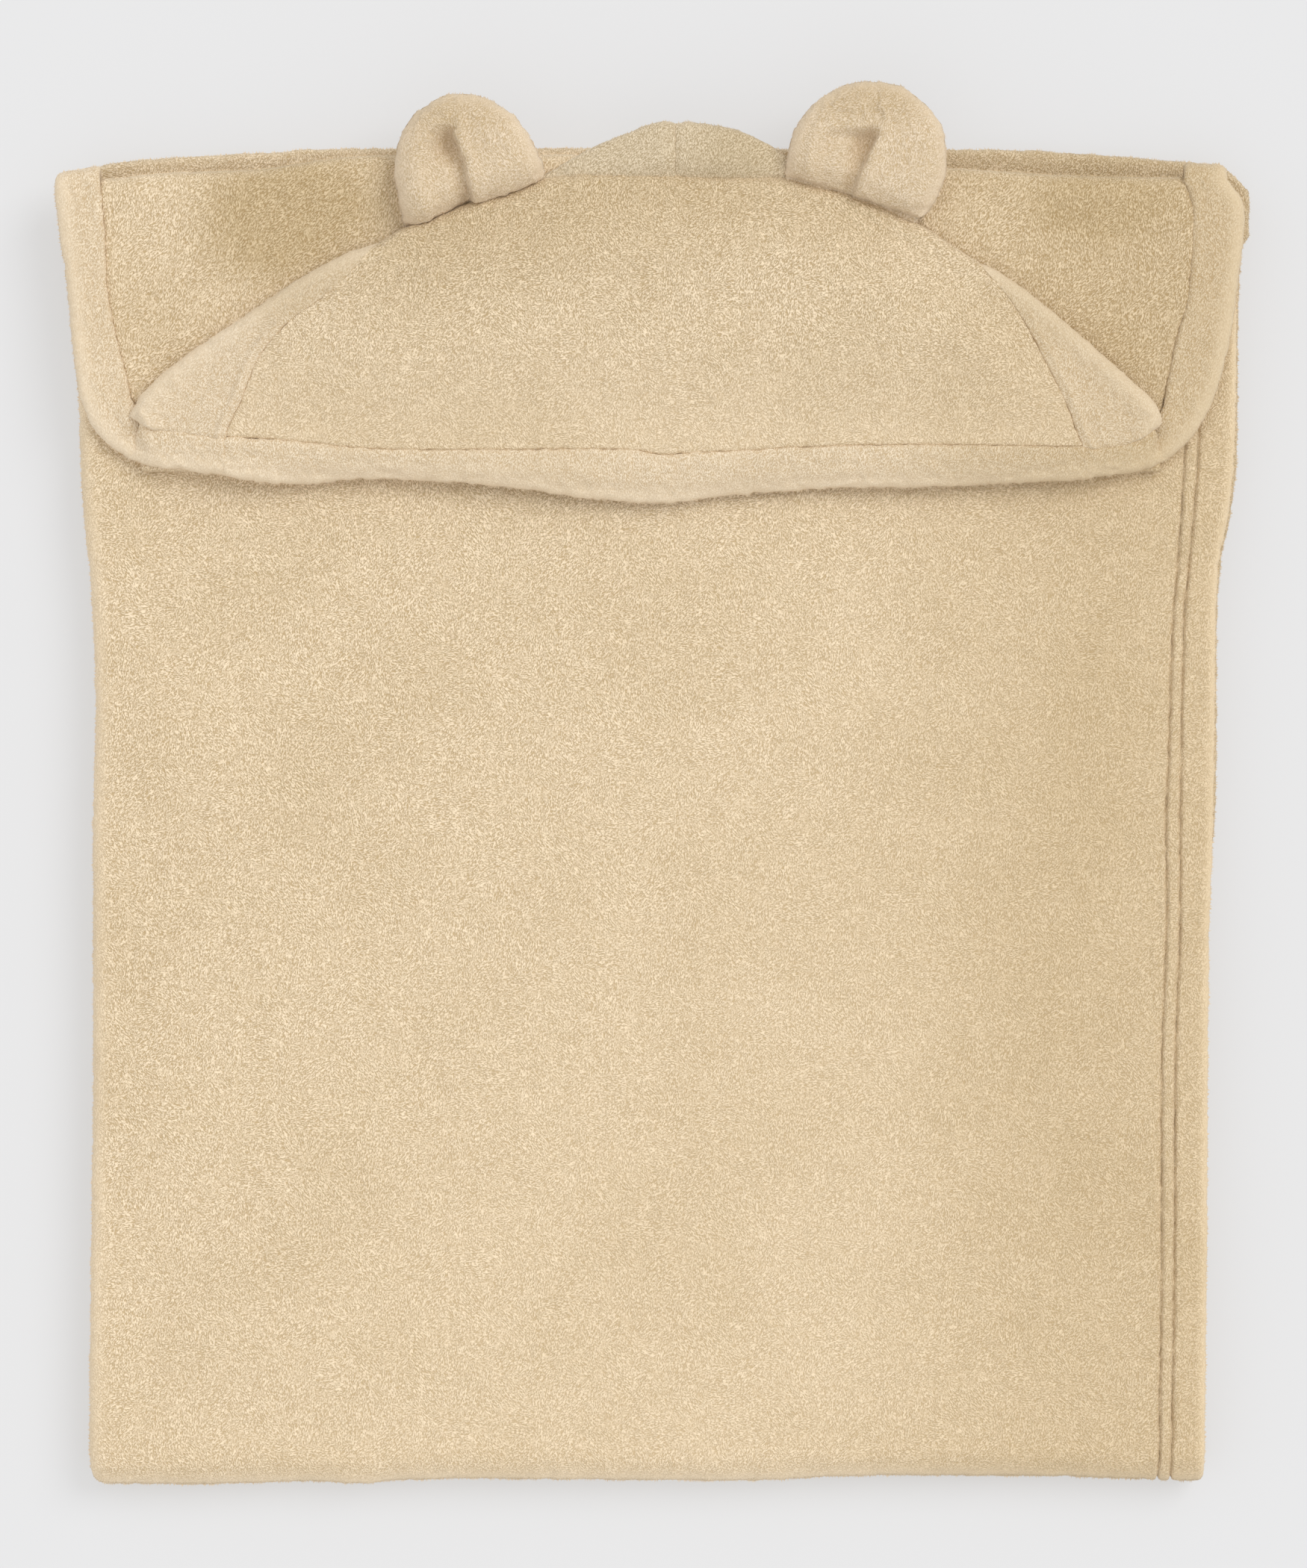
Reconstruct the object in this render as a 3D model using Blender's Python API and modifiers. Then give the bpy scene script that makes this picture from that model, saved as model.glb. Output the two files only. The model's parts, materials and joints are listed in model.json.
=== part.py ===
"""Hooded baby towel, folded flat, with a bear-eared hood folded over its front.

Run with: blender --background --python part.py

Metres, +Z up.  The origin is under the middle of the folded towel, on the table.
+X is to the right of the towel and +Y is towards the hood's crown.

The fleece lies in plies: two in the back leaf, two in the front leaf, one in the
yoke that folds forward over the front, and the hood's back and front over that.
"""

import math

import bpy

MM = 0.001

# Fabric.
PLY = 4.5  # one ply of fleece with its pile, mm
GAP = 0.3  # between neighbouring plies of one leaf
LEAF_GAP = 0.6  # between plies that can move apart
HOOD_BACK_PLY = 4.0
HOOD_ROOM = 4.8  # clear height inside the flattened hood
EDGE_ROUND = 1.4  # rounding of a ply's cut edge
THREAD = 0.8  # sewing thread with the dimple it pulls
THREAD_CLEAR = 0.05  # between a thread and the ply it lies on

# Heights of each ply's underside, mm above the table.
Z_BACK_OUTER = 0.0
Z_BACK_INNER = Z_BACK_OUTER + PLY + GAP
Z_FRONT_INNER = Z_BACK_INNER + PLY + LEAF_GAP
Z_FRONT_OUTER = Z_FRONT_INNER + PLY + GAP
Z_YOKE = Z_FRONT_OUTER + PLY + LEAF_GAP
Z_HOOD_BACK = Z_YOKE + PLY + GAP
Z_HOOD_FRONT = Z_HOOD_BACK + HOOD_BACK_PLY + HOOD_ROOM
Z_LEAF_AXIS = Z_FRONT_INNER - LEAF_GAP / 2
Z_YOKE_AXIS = Z_YOKE - LEAF_GAP / 2
Z_CROWN_AXIS = Z_HOOD_FRONT + PLY / 2
Z_EAR_AXIS = Z_HOOD_FRONT + PLY

# The folded towel in plan, mm.
LEFT_FOLD_X = -191.0  # outside of the lengthwise fold
RIGHT_EDGE_X = 189.0  # hemmed edges of the leaves
BACK_RIGHT_X = 193.0  # the back leaf peeps out on the right
BOTTOM_Y = -237.0  # outside of the bottom fold
BACK_TOP_Y = 216.0  # hemmed far end of the back leaf
HEM_WIDTH = 16.0  # side hems, from edge to inner stitch row
LOWER_HEM_WIDTH = 20.0
STITCH_INSET = 11.0  # outer stitch row, from the hemmed edge
STITCH_SPACING = 5.0  # between the two rows

BOTTOM_FOLD_R = Z_LEAF_AXIS - GAP  # kept just off the table
BOTTOM_AXIS_Y = BOTTOM_Y + BOTTOM_FOLD_R
SIDE_FOLD_R = PLY + GAP / 2
SIDE_AXIS_X = LEFT_FOLD_X + SIDE_FOLD_R
TOP_FOLD_R = PLY + LEAF_GAP / 2
YOKE_AXIS_Y = 201.0
YOKE_BOTTOM_Y = 112.0
CROWN_AXIS_Y = 204.0
HOOD_HEM_Y = 113.0  # stitch row of the hood's mouth hem
HEM_FOOT_Y = 101.5  # usual height of the mouth's lower edge
STITCH_CLEAR = 4.0  # from the end of a stitch row to a fold
POINTED_CORNER = (203.5, 206.0)  # the back leaf's hem ends in a point that shows past the yoke

# Bands down the yoke's sides, mm: each inner edge runs down from the top fold, each outer edge up.
BAND_LEFT_IN = [(-187.3, 204.0), (-185.5, 170.0), (-181.0, 146.0), (-180.5, 130.0)]
BAND_LEFT_OUT = [(-178.5, 117.5), (-186.5, 117.5), (-193.5, 129.0), (-200.0, 170.0), (-203.5, 203.0)]
BAND_RIGHT_IN = [(180.0, 204.0), (182.0, 175.0), (178.5, 150.0), (176.5, 128.0)]
BAND_RIGHT_OUT = [(176.0, 114.0), (184.0, 118.0), (191.5, 133.0), (197.5, 168.0), (199.5, 203.0)]
BAND_STITCH_INSET = 1.4
BAND_STITCH_LOW = 141.0  # the bands' stitch rows stop above the hood's corners
TOP_FOLD_SPAN = (-186.0, 179.0)

# Hood seams, mm.  A cheek runs from its fold (corner to tip) to its seam.
LEFT_CORNER = (-178.0, 128.4)
LEFT_TIP = (-92.0, 184.5)
LEFT_SEAM = [(-103.0, 170.6), (-123.6, 154.8), (-137.0, 132.0), (-142.5, 116.5)]
RIGHT_CORNER = (173.9, 123.9)
RIGHT_TIP = (108.1, 178.4)
RIGHT_SEAM = [(121.6, 161.4), (136.0, 135.8), (143.5, 115.5)]
SEAM_GAP = 0.4  # half the gap left between neighbouring panels
CROWN = [(-36.0, 204.6), (-9.9, 206.6), (22.0, 206.3), (44.0, 205.2)]
EAR_BASES = {"left": ((-85.0, 188.0), (-36.5, 205.0)), "right": ((45.0, 205.6), (89.0, 190.2))}
EAR_SPECS = {
    "left": {"centre": (-63.5, 211.0), "radii": (24.6, 22.4), "tilt": 16.0},
    "right": {"centre": (72.5, 212.2), "radii": (27.2, 24.6), "tilt": -14.0},
}
EAR_CLEAR = 1.2  # between an ear's base and the hood's edge
EAR_SHORTEST = 0.5  # outline points nearer than this to an ear's base are left out
EAR_PLY = 6.2
CROWN_BY_LEFT_EAR = (-84.0, 187.0)
CROWN_BY_RIGHT_EAR = (88.0, 189.0)

# The hood's back, mm: its outer edge under the front, and the dome that shows behind the crown.
DOME_SEAM_X = 7.0
DOME_SEAM_PATH = [(DOME_SEAM_X, y) for y in (209.0, 213.0, 217.0, 221.0)]
DOME_LEFT = [(-41.0, 201.5), (-36.0, 207.5), (-24.0, 215.5), (0.0, 223.5), (DOME_SEAM_X - GAP, 224.5)]
DOME_RIGHT = [(DOME_SEAM_X + GAP, 224.5), (24.0, 222.0), (40.0, 214.5), (47.5, 203.5)]
HOOD_BACK_LEFT_EDGE = [(-150.0, 116.0), (-172.0, 128.0), (-96.0, 179.5), (-78.0, 186.5)]
HOOD_BACK_RIGHT_EDGE = [(92.0, 184.0), (168.0, 124.0), (146.0, 116.0)]

FLEECE = (0.75, 0.60, 0.39, 1.0)
FLEECE_SHADE = (0.70, 0.55, 0.35, 1.0)
THREAD_COLOUR = (0.62, 0.48, 0.29, 1.0)


def clear_scene():
    for obj in list(bpy.data.objects):
        bpy.data.objects.remove(obj, do_unlink=True)


def make_material(name, colour, roughness):
    material = bpy.data.materials.new(name)
    material.use_nodes = True
    shader = material.node_tree.nodes["Principled BSDF"]
    shader.inputs["Base Color"].default_value = colour
    shader.inputs["Roughness"].default_value = roughness
    shader.inputs["Metallic"].default_value = 0.0
    return material


def make_body(name, collection, parent, position):
    """An empty on a joint's axis, which the pieces of one moving body hang from."""
    body = bpy.data.objects.new(name, None)
    collection.objects.link(body)
    body.empty_display_size = 0.02
    if parent:
        body.parent = parent
        body.matrix_parent_inverse = parent.matrix_world.inverted()
    body.location = [value * MM for value in position]
    bpy.context.view_layer.update()
    return body


def attach(obj, kit, body, material):
    """Link a piece, give it its material and hang it from its body's empty."""
    kit["collection"].objects.link(obj)
    obj.data.materials.append(kit["materials"][material])
    bpy.context.view_layer.update()
    placed = obj.matrix_world.copy()
    obj.parent = kit["bodies"][body]
    obj.matrix_parent_inverse = kit["bodies"][body].matrix_world.inverted()
    obj.matrix_world = placed
    return obj


def round_edges(obj, width, segments=2):
    weld = obj.modifiers.new("weld", "WELD")
    weld.merge_threshold = 0.00005
    bevel = obj.modifiers.new("round", "BEVEL")
    bevel.width = width * MM
    bevel.segments = segments
    bevel.limit_method = "ANGLE"
    bevel.angle_limit = math.radians(60)
    bevel.use_clamp_overlap = True


def outline_curve(name, outline, thickness):
    """A flat outline, filled and given its thickness, centred on its own plane."""
    curve = bpy.data.curves.new(name, "CURVE")
    curve.dimensions = "2D"
    curve.fill_mode = "BOTH"
    curve.extrude = thickness * MM / 2
    spline = curve.splines.new("POLY")
    spline.points.add(len(outline) - 1)
    for point, (x, y) in zip(spline.points, outline):
        point.co = (x * MM, y * MM, 0.0, 1.0)
    spline.use_cyclic_u = True
    return bpy.data.objects.new(name, curve)


def flat_piece(name, outline, z, thickness, kit, body, material="fleece"):
    """A ply of fleece cut to an outline, lying flat with its underside at z."""
    obj = outline_curve(name, outline, thickness)
    obj.location = (0.0, 0.0, (z + thickness / 2) * MM)
    round_edges(obj, EDGE_ROUND)
    return attach(obj, kit, body, material)


def rectangle(x0, y0, x1, y1):
    return [(x0, y0), (x1, y0), (x1, y1), (x0, y1)]


def arc(centre, radius, start, end, steps):
    """Points along an arc, angles in degrees."""
    turn = math.radians(end - start) / steps
    first = math.radians(start)
    return [
        (centre[0] + radius * math.cos(first + turn * i), centre[1] + radius * math.sin(first + turn * i))
        for i in range(steps + 1)
    ]


def smooth(points, steps=3):
    """A Catmull-Rom curve through the points, which stay its own points."""
    ends = [points[0], *points, points[-1]]
    path = []
    for before, a, b, after in zip(ends, ends[1:], ends[2:], ends[3:]):
        for i in range(steps):
            t = i / steps
            path.append(
                tuple(
                    0.5 * (2 * a[k] + (b[k] - before[k]) * t
                           + (2 * before[k] - 5 * a[k] + 4 * b[k] - after[k]) * t**2
                           + (3 * a[k] - before[k] - 3 * b[k] + after[k]) * t**3)
                    for k in (0, 1)
                )
            )
    return [*path, points[-1]]


def shifted(points, dx=0.0, dy=0.0):
    return [(x + dx, y + dy) for x, y in points]


def fold_roll(name, centre, outer, inner, span, along, facing, kit, body):
    """Half a tube of fleece round a fold; centre is (across, height).

    along is "X", opening away from the facing (1 or -1), or "Y", always a fold on the left.
    """
    half = arc((0, 0), outer, 90, 270, 12) + arc((0, 0), inner, 270, 90, 6)
    obj = outline_curve(name, half, span[1] - span[0])
    middle = (span[0] + span[1]) / 2
    if along == "X":
        turn, place = -90.0 * facing, (middle, centre[0], centre[1])
    else:
        turn, place = 0.0, (centre[0], middle, centre[1])
    obj.rotation_euler = (math.radians(90), 0.0, math.radians(turn))
    obj.location = [value * MM for value in place]
    return attach(obj, kit, body, "fleece")


def thread_height(surface):
    """Middle of a thread that lies on a surface."""
    return surface + THREAD / 2 + THREAD_CLEAR


def stitch_row(name, path, z, kit, body):
    """A sewn row, drawn as one thread lying along a path at height z."""
    curve = bpy.data.curves.new(name, "CURVE")
    curve.dimensions = "3D"
    curve.bevel_depth = THREAD / 2 * MM
    curve.bevel_resolution = 1
    curve.use_fill_caps = True
    spline = curve.splines.new("POLY")
    spline.points.add(len(path) - 1)
    for point, (x, y) in zip(spline.points, path):
        point.co = (x * MM, y * MM, z * MM, 1.0)
    return attach(bpy.data.objects.new(name, curve), kit, body, "thread")


def leaf(prefix, z_low, z_high, right, ends, kit, body):
    """Two plies joined by the lengthwise fold, with a turned hem on each free side."""
    bottom, top = ends
    seam_x = right - HEM_WIDTH
    heights = (z_low, z_high) if prefix == "back" else (z_high, z_low)
    for layer, z in zip(("outer", "inner"), heights):
        ply = rectangle(SIDE_AXIS_X + GAP, bottom, seam_x - GAP / 2, top)
        hem = rectangle(seam_x + GAP / 2, bottom, right, top)
        flat_piece(f"{prefix}_{layer}_ply", ply, z, PLY, kit, body)
        flat_piece(f"{prefix}_{layer}_side_hem", hem, z, PLY, kit, body, "fleece_shade")
    centre = (SIDE_AXIS_X, (z_low + z_high + PLY) / 2)
    fold_roll(f"{prefix}_left_fold", centre, SIDE_FOLD_R, GAP, (bottom, top), "Y", -1, kit, body)


def build_back_leaf(kit):
    seam_y = BACK_TOP_Y - LOWER_HEM_WIDTH
    ends = (BOTTOM_AXIS_Y + GAP, seam_y - GAP / 2)
    leaf("back", Z_BACK_OUTER, Z_BACK_INNER, BACK_RIGHT_X, ends, kit, "root")
    hem = rectangle(LEFT_FOLD_X, seam_y + GAP / 2, BACK_RIGHT_X, BACK_TOP_Y)
    point = [(BACK_RIGHT_X + 4.0, 199.0), POINTED_CORNER, (BACK_RIGHT_X, 213.5), (150.0, BACK_TOP_Y)]
    pointed = [*hem[:2], *point, hem[3]]
    flat_piece("lower_hem_outer", pointed, Z_BACK_OUTER, PLY, kit, "root", "fleece_shade")
    flat_piece("lower_hem_inner", hem, Z_BACK_INNER, PLY, kit, "root", "fleece_shade")


def build_bottom_fold(kit):
    centre = (BOTTOM_AXIS_Y, Z_LEAF_AXIS)
    inner_r = PLY + LEAF_GAP / 2
    span = (LEFT_FOLD_X + EDGE_ROUND, RIGHT_EDGE_X)
    fold_roll("bottom_fold_outer", centre, BOTTOM_FOLD_R, inner_r + GAP, span, "X", -1, kit, "root")
    fold_roll("bottom_fold_inner", centre, inner_r, LEAF_GAP, span, "X", -1, kit, "root")


def build_front_leaf(kit):
    ends = (BOTTOM_AXIS_Y + GAP, YOKE_AXIS_Y - GAP)
    leaf("front", Z_FRONT_INNER, Z_FRONT_OUTER, RIGHT_EDGE_X, ends, kit, "front_leaf")
    stop = YOKE_BOTTOM_Y - 3 * STITCH_CLEAR
    z = thread_height(Z_FRONT_OUTER + PLY)
    for row, inset in (("outer", STITCH_INSET), ("inner", STITCH_INSET + STITCH_SPACING)):
        x = RIGHT_EDGE_X - inset
        path = [(x, ends[0] + STITCH_CLEAR), (x, stop)]
        stitch_row(f"front_hem_stitch_{row}_row", path, z, kit, "front_leaf")


def build_yoke(kit):
    """The panel, the bands down its sides, which curl round to the hood's mouth, and the top fold."""
    left_in, right_in = smooth(BAND_LEFT_IN), smooth(BAND_RIGHT_IN)
    hems = {"left": left_in + smooth(BAND_LEFT_OUT), "right": right_in + smooth(BAND_RIGHT_OUT)}
    outline = shifted(left_in[::-1], dx=GAP * 2) + shifted(right_in, dx=-GAP * 2)
    outline = [(-176.0, YOKE_BOTTOM_Y), *outline, (174.0, YOKE_BOTTOM_Y)]
    panel = [(x, min(y, YOKE_AXIS_Y - GAP)) for x, y in outline]
    flat_piece("yoke_panel", panel, Z_YOKE, PLY, kit, "hood_section")
    for side, hem in hems.items():
        flat_piece(f"yoke_side_hem_{side}", hem, Z_YOKE, PLY, kit, "hood_section", "fleece_shade")
    z = thread_height(Z_YOKE + PLY)
    for side, edge, sign in (("left", left_in, 1), ("right", right_in, -1)):
        seam = shifted(edge, dx=sign * BAND_STITCH_INSET)
        path = [(x, y) for x, y in seam if BAND_STITCH_LOW < y < YOKE_AXIS_Y - STITCH_CLEAR]
        stitch_row(f"yoke_hem_stitch_{side}", path, z, kit, "hood_section")
    centre = (YOKE_AXIS_Y, Z_YOKE_AXIS)
    fold_roll("top_fold", centre, TOP_FOLD_R, LEAF_GAP / 2, TOP_FOLD_SPAN, "X", 1, kit, "hood_section")


def ear_outline(side):
    """A round ear, cut off along the line where it is sewn to the hood."""
    spec = EAR_SPECS[side]
    (x0, y0), (x1, y1) = EAR_BASES[side]
    length = math.hypot(x1 - x0, y1 - y0)
    along = ((x1 - x0) / length, (y1 - y0) / length)
    outward = (-along[1], along[0])
    tilt = math.radians(spec["tilt"])
    points, steps = [], 40
    for i in range(steps):
        angle = 2 * math.pi * i / steps
        u = spec["radii"][0] * math.cos(angle)
        v = spec["radii"][1] * math.sin(angle)
        x = spec["centre"][0] + u * math.cos(tilt) - v * math.sin(tilt)
        y = spec["centre"][1] + u * math.sin(tilt) + v * math.cos(tilt)
        depth = (x - x0) * outward[0] + (y - y0) * outward[1]
        if depth > EAR_CLEAR + EAR_SHORTEST:
            points.append((i, x, y, depth))
    first = next((k for k in range(1, len(points)) if points[k][0] - points[k - 1][0] > 1), 0)
    ring = [(x, y) for _, x, y, _ in points[first:] + points[:first]]
    return [on_base(ring[0], (x0, y0), along, outward), *ring, on_base(ring[-1], (x0, y0), along, outward)]


def on_base(point, start, along, outward):
    """The point of an ear's sewn edge nearest to the given one."""
    reach = (point[0] - start[0]) * along[0] + (point[1] - start[1]) * along[1]
    return (
        start[0] + along[0] * reach + outward[0] * EAR_CLEAR,
        start[1] + along[1] * reach + outward[1] * EAR_CLEAR,
    )


def build_ears(kit):
    z_back = Z_HOOD_FRONT + PLY - 2 * EAR_PLY - GAP
    for side in EAR_SPECS:
        outline = ear_outline(side)
        flat_piece(f"ear_{side}_back", outline, z_back, EAR_PLY, kit, f"ear_{side}")
        z = z_back + EAR_PLY + GAP
        flat_piece(f"ear_{side}_front", outline, z, EAR_PLY, kit, f"ear_{side}", "fleece_shade")


def build_hood_back(kit):
    """Two panels under the hood's front, seamed down the middle; they make the dome behind."""
    foot = YOKE_BOTTOM_Y + 1.0
    left = [(DOME_SEAM_X - GAP, foot), *HOOD_BACK_LEFT_EDGE, *smooth(DOME_LEFT)]
    right = [*smooth(DOME_RIGHT), *HOOD_BACK_RIGHT_EDGE, (DOME_SEAM_X + GAP, foot)]
    flat_piece("hood_back_left", left, Z_HOOD_BACK, HOOD_BACK_PLY, kit, "hood_section")
    flat_piece("hood_back_right", right, Z_HOOD_BACK, HOOD_BACK_PLY, kit, "hood_section")
    z = thread_height(Z_HOOD_BACK + HOOD_BACK_PLY)
    stitch_row("hood_back_seam_thread", DOME_SEAM_PATH, z, kit, "hood_section")


def hem_foot(x):
    """Height in plan of the mouth's lower edge: it hangs lowest in the middle and waves a little."""
    return HEM_FOOT_Y - 5.5 * math.exp(-(((x + 2.0) / 32.0) ** 2)) + 1.5 * math.sin(x / 22.0)


def hem_band(x0, x1, top, steps=24):
    """A stretch of the hood's mouth hem between two x positions."""
    xs = [x0 + (x1 - x0) * i / steps for i in range(steps + 1)]
    return [*[(x, hem_foot(x)) for x in xs], (x1, top), (x0, top)]


def build_hood_front(kit):
    left = shifted(smooth([LEFT_TIP, *LEFT_SEAM]), dx=SEAM_GAP)
    right = shifted(smooth([RIGHT_TIP, *RIGHT_SEAM]), dx=-SEAM_GAP)
    panel = [*CROWN, CROWN_BY_RIGHT_EAR, *right[:-1], (right[-1][0], HOOD_HEM_Y + GAP)]
    panel += [(left[-1][0], HOOD_HEM_Y + GAP), *left[:-1][::-1], CROWN_BY_LEFT_EAR]
    flat_piece("hood_front_panel", panel, Z_HOOD_FRONT, PLY, kit, "hood_front")
    band = hem_band(left[-1][0] - 2 * GAP, right[-1][0] + 2 * GAP, HOOD_HEM_Y - GAP)
    flat_piece("hood_front_hem", band, Z_HOOD_FRONT, PLY, kit, "hood_front", "fleece_shade")
    path = [(x, HOOD_HEM_Y + 2 * THREAD) for x in range(-138, 139, 23)]
    stitch_row("hood_hem_stitch", path, thread_height(Z_HOOD_FRONT + PLY), kit, "hood_front")


def build_cheeks(kit):
    """A cheek's panel and its stretch of the mouth's hem, which tapers to the hood's corner."""
    sides = {
        "left": (LEFT_CORNER, LEFT_TIP, LEFT_SEAM, -1),
        "right": (RIGHT_CORNER, RIGHT_TIP, RIGHT_SEAM, 1),
    }
    for side, (corner, tip, seam, sign) in sides.items():
        path = shifted(smooth([tip, *seam]), dx=sign * SEAM_GAP)
        seam_x = path[-1][0]
        inset_x = corner[0] + sign * 3.5
        panel = [*path[:-1], (seam_x, HOOD_HEM_Y + GAP), (inset_x, HOOD_HEM_Y + GAP), corner]
        flat_piece(f"cheek_{side}_panel", panel, Z_HOOD_FRONT, PLY, kit, f"cheek_{side}")
        hem_x = seam_x + sign * 2 * SEAM_GAP
        hem = [(hem_x, HEM_FOOT_Y + 1.0), (hem_x, HOOD_HEM_Y - GAP), (inset_x, HOOD_HEM_Y - GAP)]
        hem += [(inset_x * 0.985, HEM_FOOT_Y + 6.0), (inset_x * 0.93, HEM_FOOT_Y + 2.5)]
        flat_piece(f"cheek_{side}_hem", hem, Z_HOOD_FRONT, PLY, kit, f"cheek_{side}", "fleece_shade")


def middle(points, z):
    return (
        (points[0][0] + points[1][0]) / 2,
        (points[0][1] + points[1][1]) / 2,
        z,
    )


def make_bodies(collection):
    """One empty for each moving body, on the axis of its joint."""
    root = make_body("root", collection, None, (0.0, 0.0, 0.0))
    leaf_axis = (0.0, BOTTOM_AXIS_Y, Z_LEAF_AXIS)
    front_leaf = make_body("front_leaf", collection, root, leaf_axis)
    section = make_body("hood_section", collection, front_leaf, (0.0, YOKE_AXIS_Y, Z_YOKE_AXIS))
    bodies = {"root": root, "front_leaf": front_leaf, "hood_section": section}
    moving = {
        "hood_front": (0.0, CROWN_AXIS_Y, Z_CROWN_AXIS),
        "cheek_left": middle((LEFT_CORNER, LEFT_TIP), Z_HOOD_FRONT),
        "cheek_right": middle((RIGHT_CORNER, RIGHT_TIP), Z_HOOD_FRONT),
        "ear_left": middle(EAR_BASES["left"], Z_EAR_AXIS),
        "ear_right": middle(EAR_BASES["right"], Z_EAR_AXIS),
    }
    for name, position in moving.items():
        bodies[name] = make_body(f"{name}_pivot", collection, section, position)
    return bodies


def main():
    clear_scene()
    collection = bpy.data.collections.new("hooded_baby_towel")
    bpy.context.scene.collection.children.link(collection)
    materials = {
        "fleece": make_material("sand_fleece", FLEECE, 0.9),
        "fleece_shade": make_material("sand_fleece_hem", FLEECE_SHADE, 0.9),
        "thread": make_material("sewing_thread", THREAD_COLOUR, 0.6),
    }
    kit = {"collection": collection, "materials": materials, "bodies": make_bodies(collection)}
    build_back_leaf(kit)
    build_bottom_fold(kit)
    build_front_leaf(kit)
    build_yoke(kit)
    build_hood_back(kit)
    build_hood_front(kit)
    build_cheeks(kit)
    build_ears(kit)


main()
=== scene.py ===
import json
import math

import bpy
import numpy as np
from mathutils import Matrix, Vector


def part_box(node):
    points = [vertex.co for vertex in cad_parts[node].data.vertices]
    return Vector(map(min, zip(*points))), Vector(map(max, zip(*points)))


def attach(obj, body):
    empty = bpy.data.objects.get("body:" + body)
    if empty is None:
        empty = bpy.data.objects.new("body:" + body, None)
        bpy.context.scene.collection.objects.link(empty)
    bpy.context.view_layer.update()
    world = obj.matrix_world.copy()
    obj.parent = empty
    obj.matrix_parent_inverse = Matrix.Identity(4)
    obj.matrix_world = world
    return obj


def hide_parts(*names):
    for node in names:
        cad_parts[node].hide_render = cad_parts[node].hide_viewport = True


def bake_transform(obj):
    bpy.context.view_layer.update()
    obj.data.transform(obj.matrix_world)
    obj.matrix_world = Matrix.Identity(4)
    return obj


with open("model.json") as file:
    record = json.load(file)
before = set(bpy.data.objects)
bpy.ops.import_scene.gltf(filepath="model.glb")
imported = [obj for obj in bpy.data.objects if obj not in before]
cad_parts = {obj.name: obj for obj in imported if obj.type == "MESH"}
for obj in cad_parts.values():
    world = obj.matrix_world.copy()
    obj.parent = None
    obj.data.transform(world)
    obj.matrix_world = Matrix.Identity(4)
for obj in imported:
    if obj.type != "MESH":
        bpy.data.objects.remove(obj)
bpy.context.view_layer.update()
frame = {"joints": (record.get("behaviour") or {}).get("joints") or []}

# Hooded baby towel: every ply of fleece is a closed, thick sheet over a smooth middle surface.
# Lengths are millimetres in the frame of the CAD; meshes are scaled to metres as they are made.

MM = 0.001


def box_mm(node):
    low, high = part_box(node)
    return np.array(low) / MM, np.array(high) / MM


def joint_place(name):
    joint = next(j for j in frame["joints"] if j["name"] == name)
    return np.array(joint["pos_m"]) / MM


# Driving dimensions, from the frame.
PLY = float(box_mm("front_outer_ply")[1][2] - box_mm("front_outer_ply")[0][2])
HALF = PLY / 2
Z_BACK_OUTER, Z_BACK_INNER, Z_FRONT_INNER, Z_FRONT_OUTER, Z_YOKE = (
    box_mm(ply)[0][2] + HALF for ply in
    ("back_outer_ply", "back_inner_ply", "front_inner_ply", "front_outer_ply", "yoke_panel"))
HOOD_TOP = box_mm("hood_front_panel")[1][2]
BOTTOM_AXIS = joint_place("front_leaf_fold")
TOP_AXIS = joint_place("hood_fold")
HOOD_REST = Z_YOKE + PLY + 0.1  # middle of the hood's fabric where it lies on the yoke
HOOD_PUFF = HOOD_TOP - HALF - HOOD_REST
YOKE_ROLL = Z_YOKE - TOP_AXIS[2]  # radius of the yoke's turn over the top fold
FOLD_R = PLY + 0.15  # outside radius of a lengthwise fold

HOOD_STEP, FINE, MEDIUM, COARSE = 1.1, 1.45, 2.4, 4.0  # mesh steps; pile shows in the first two
HAIR_PITCH = 0.4  # between the points of the ragged pile at an edge
HAIR_REACH = 0.9  # of the longest of those points
HEM_DROOP = 2.4  # of the mouth's free edge, past the end of the yoke
BAND_WIDTH, MOUTH_HEM_WIDTH = 15.5, 14.5  # of the turned hems beside the yoke and at the mouth
EAR_TUCK = 4.0  # how far an ear's root reaches under the edge of the crown
BACK_END = 216.0  # where the back leaf ends, before its end takes its own outline
YOKE_WIDTH, YOKE_REACH = 370.0, 95.0  # across, and from the top fold down to its free edge

# Outlines in plan.
FRONT_LEFT = [
    (-191.5, -236), (-191.8, -203), (-190.6, -100), (-190.6, -15), (-189.8, 30), (-191.4, 68),
    (-193.8, 92), (-195.4, 125), (-196.5, 165), (-197, 206)]
FRONT_RIGHT = [
    (187.4, -236), (188.2, -150), (188.8, -60), (190.4, -10), (191, 40), (191.8, 72), (195.4, 92),
    (197.6, 115), (198.2, 160), (197, 206)]
BACK_RIGHT = [
    (187.2, -236), (187.8, -60), (191.8, -8), (192.2, 50), (193.6, 76), (197.2, 94), (199.2, 116),
    (199.4, 160), (200.6, 190), (203.3, 199)]
BOTTOM_EDGE = [
    (-196, -237.2), (-155, -237.6), (-117, -236.7), (-99, -237.5), (-70, -235.8), (28, -236.4),
    (69, -234.8), (134, -234.9), (174, -236.2), (200, -235.4)]
BACK_TOP = [
    (-196.5, 203.5), (-191, 209), (-180, 212.6), (-131, 215.6), (-87, 217), (100, 216.6),
    (141, 215.4), (177, 212.6), (192, 211), (198.4, 207.4), (203.4, 202.2)]
YOKE_TOP = [
    (-190, 205.4), (-160, 207.9), (-133, 209), (-110, 212.4), (-80, 213.8), (0, 213.5), (80, 210.6),
    (117, 208.2), (141, 206.8), (182, 206)]
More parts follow.
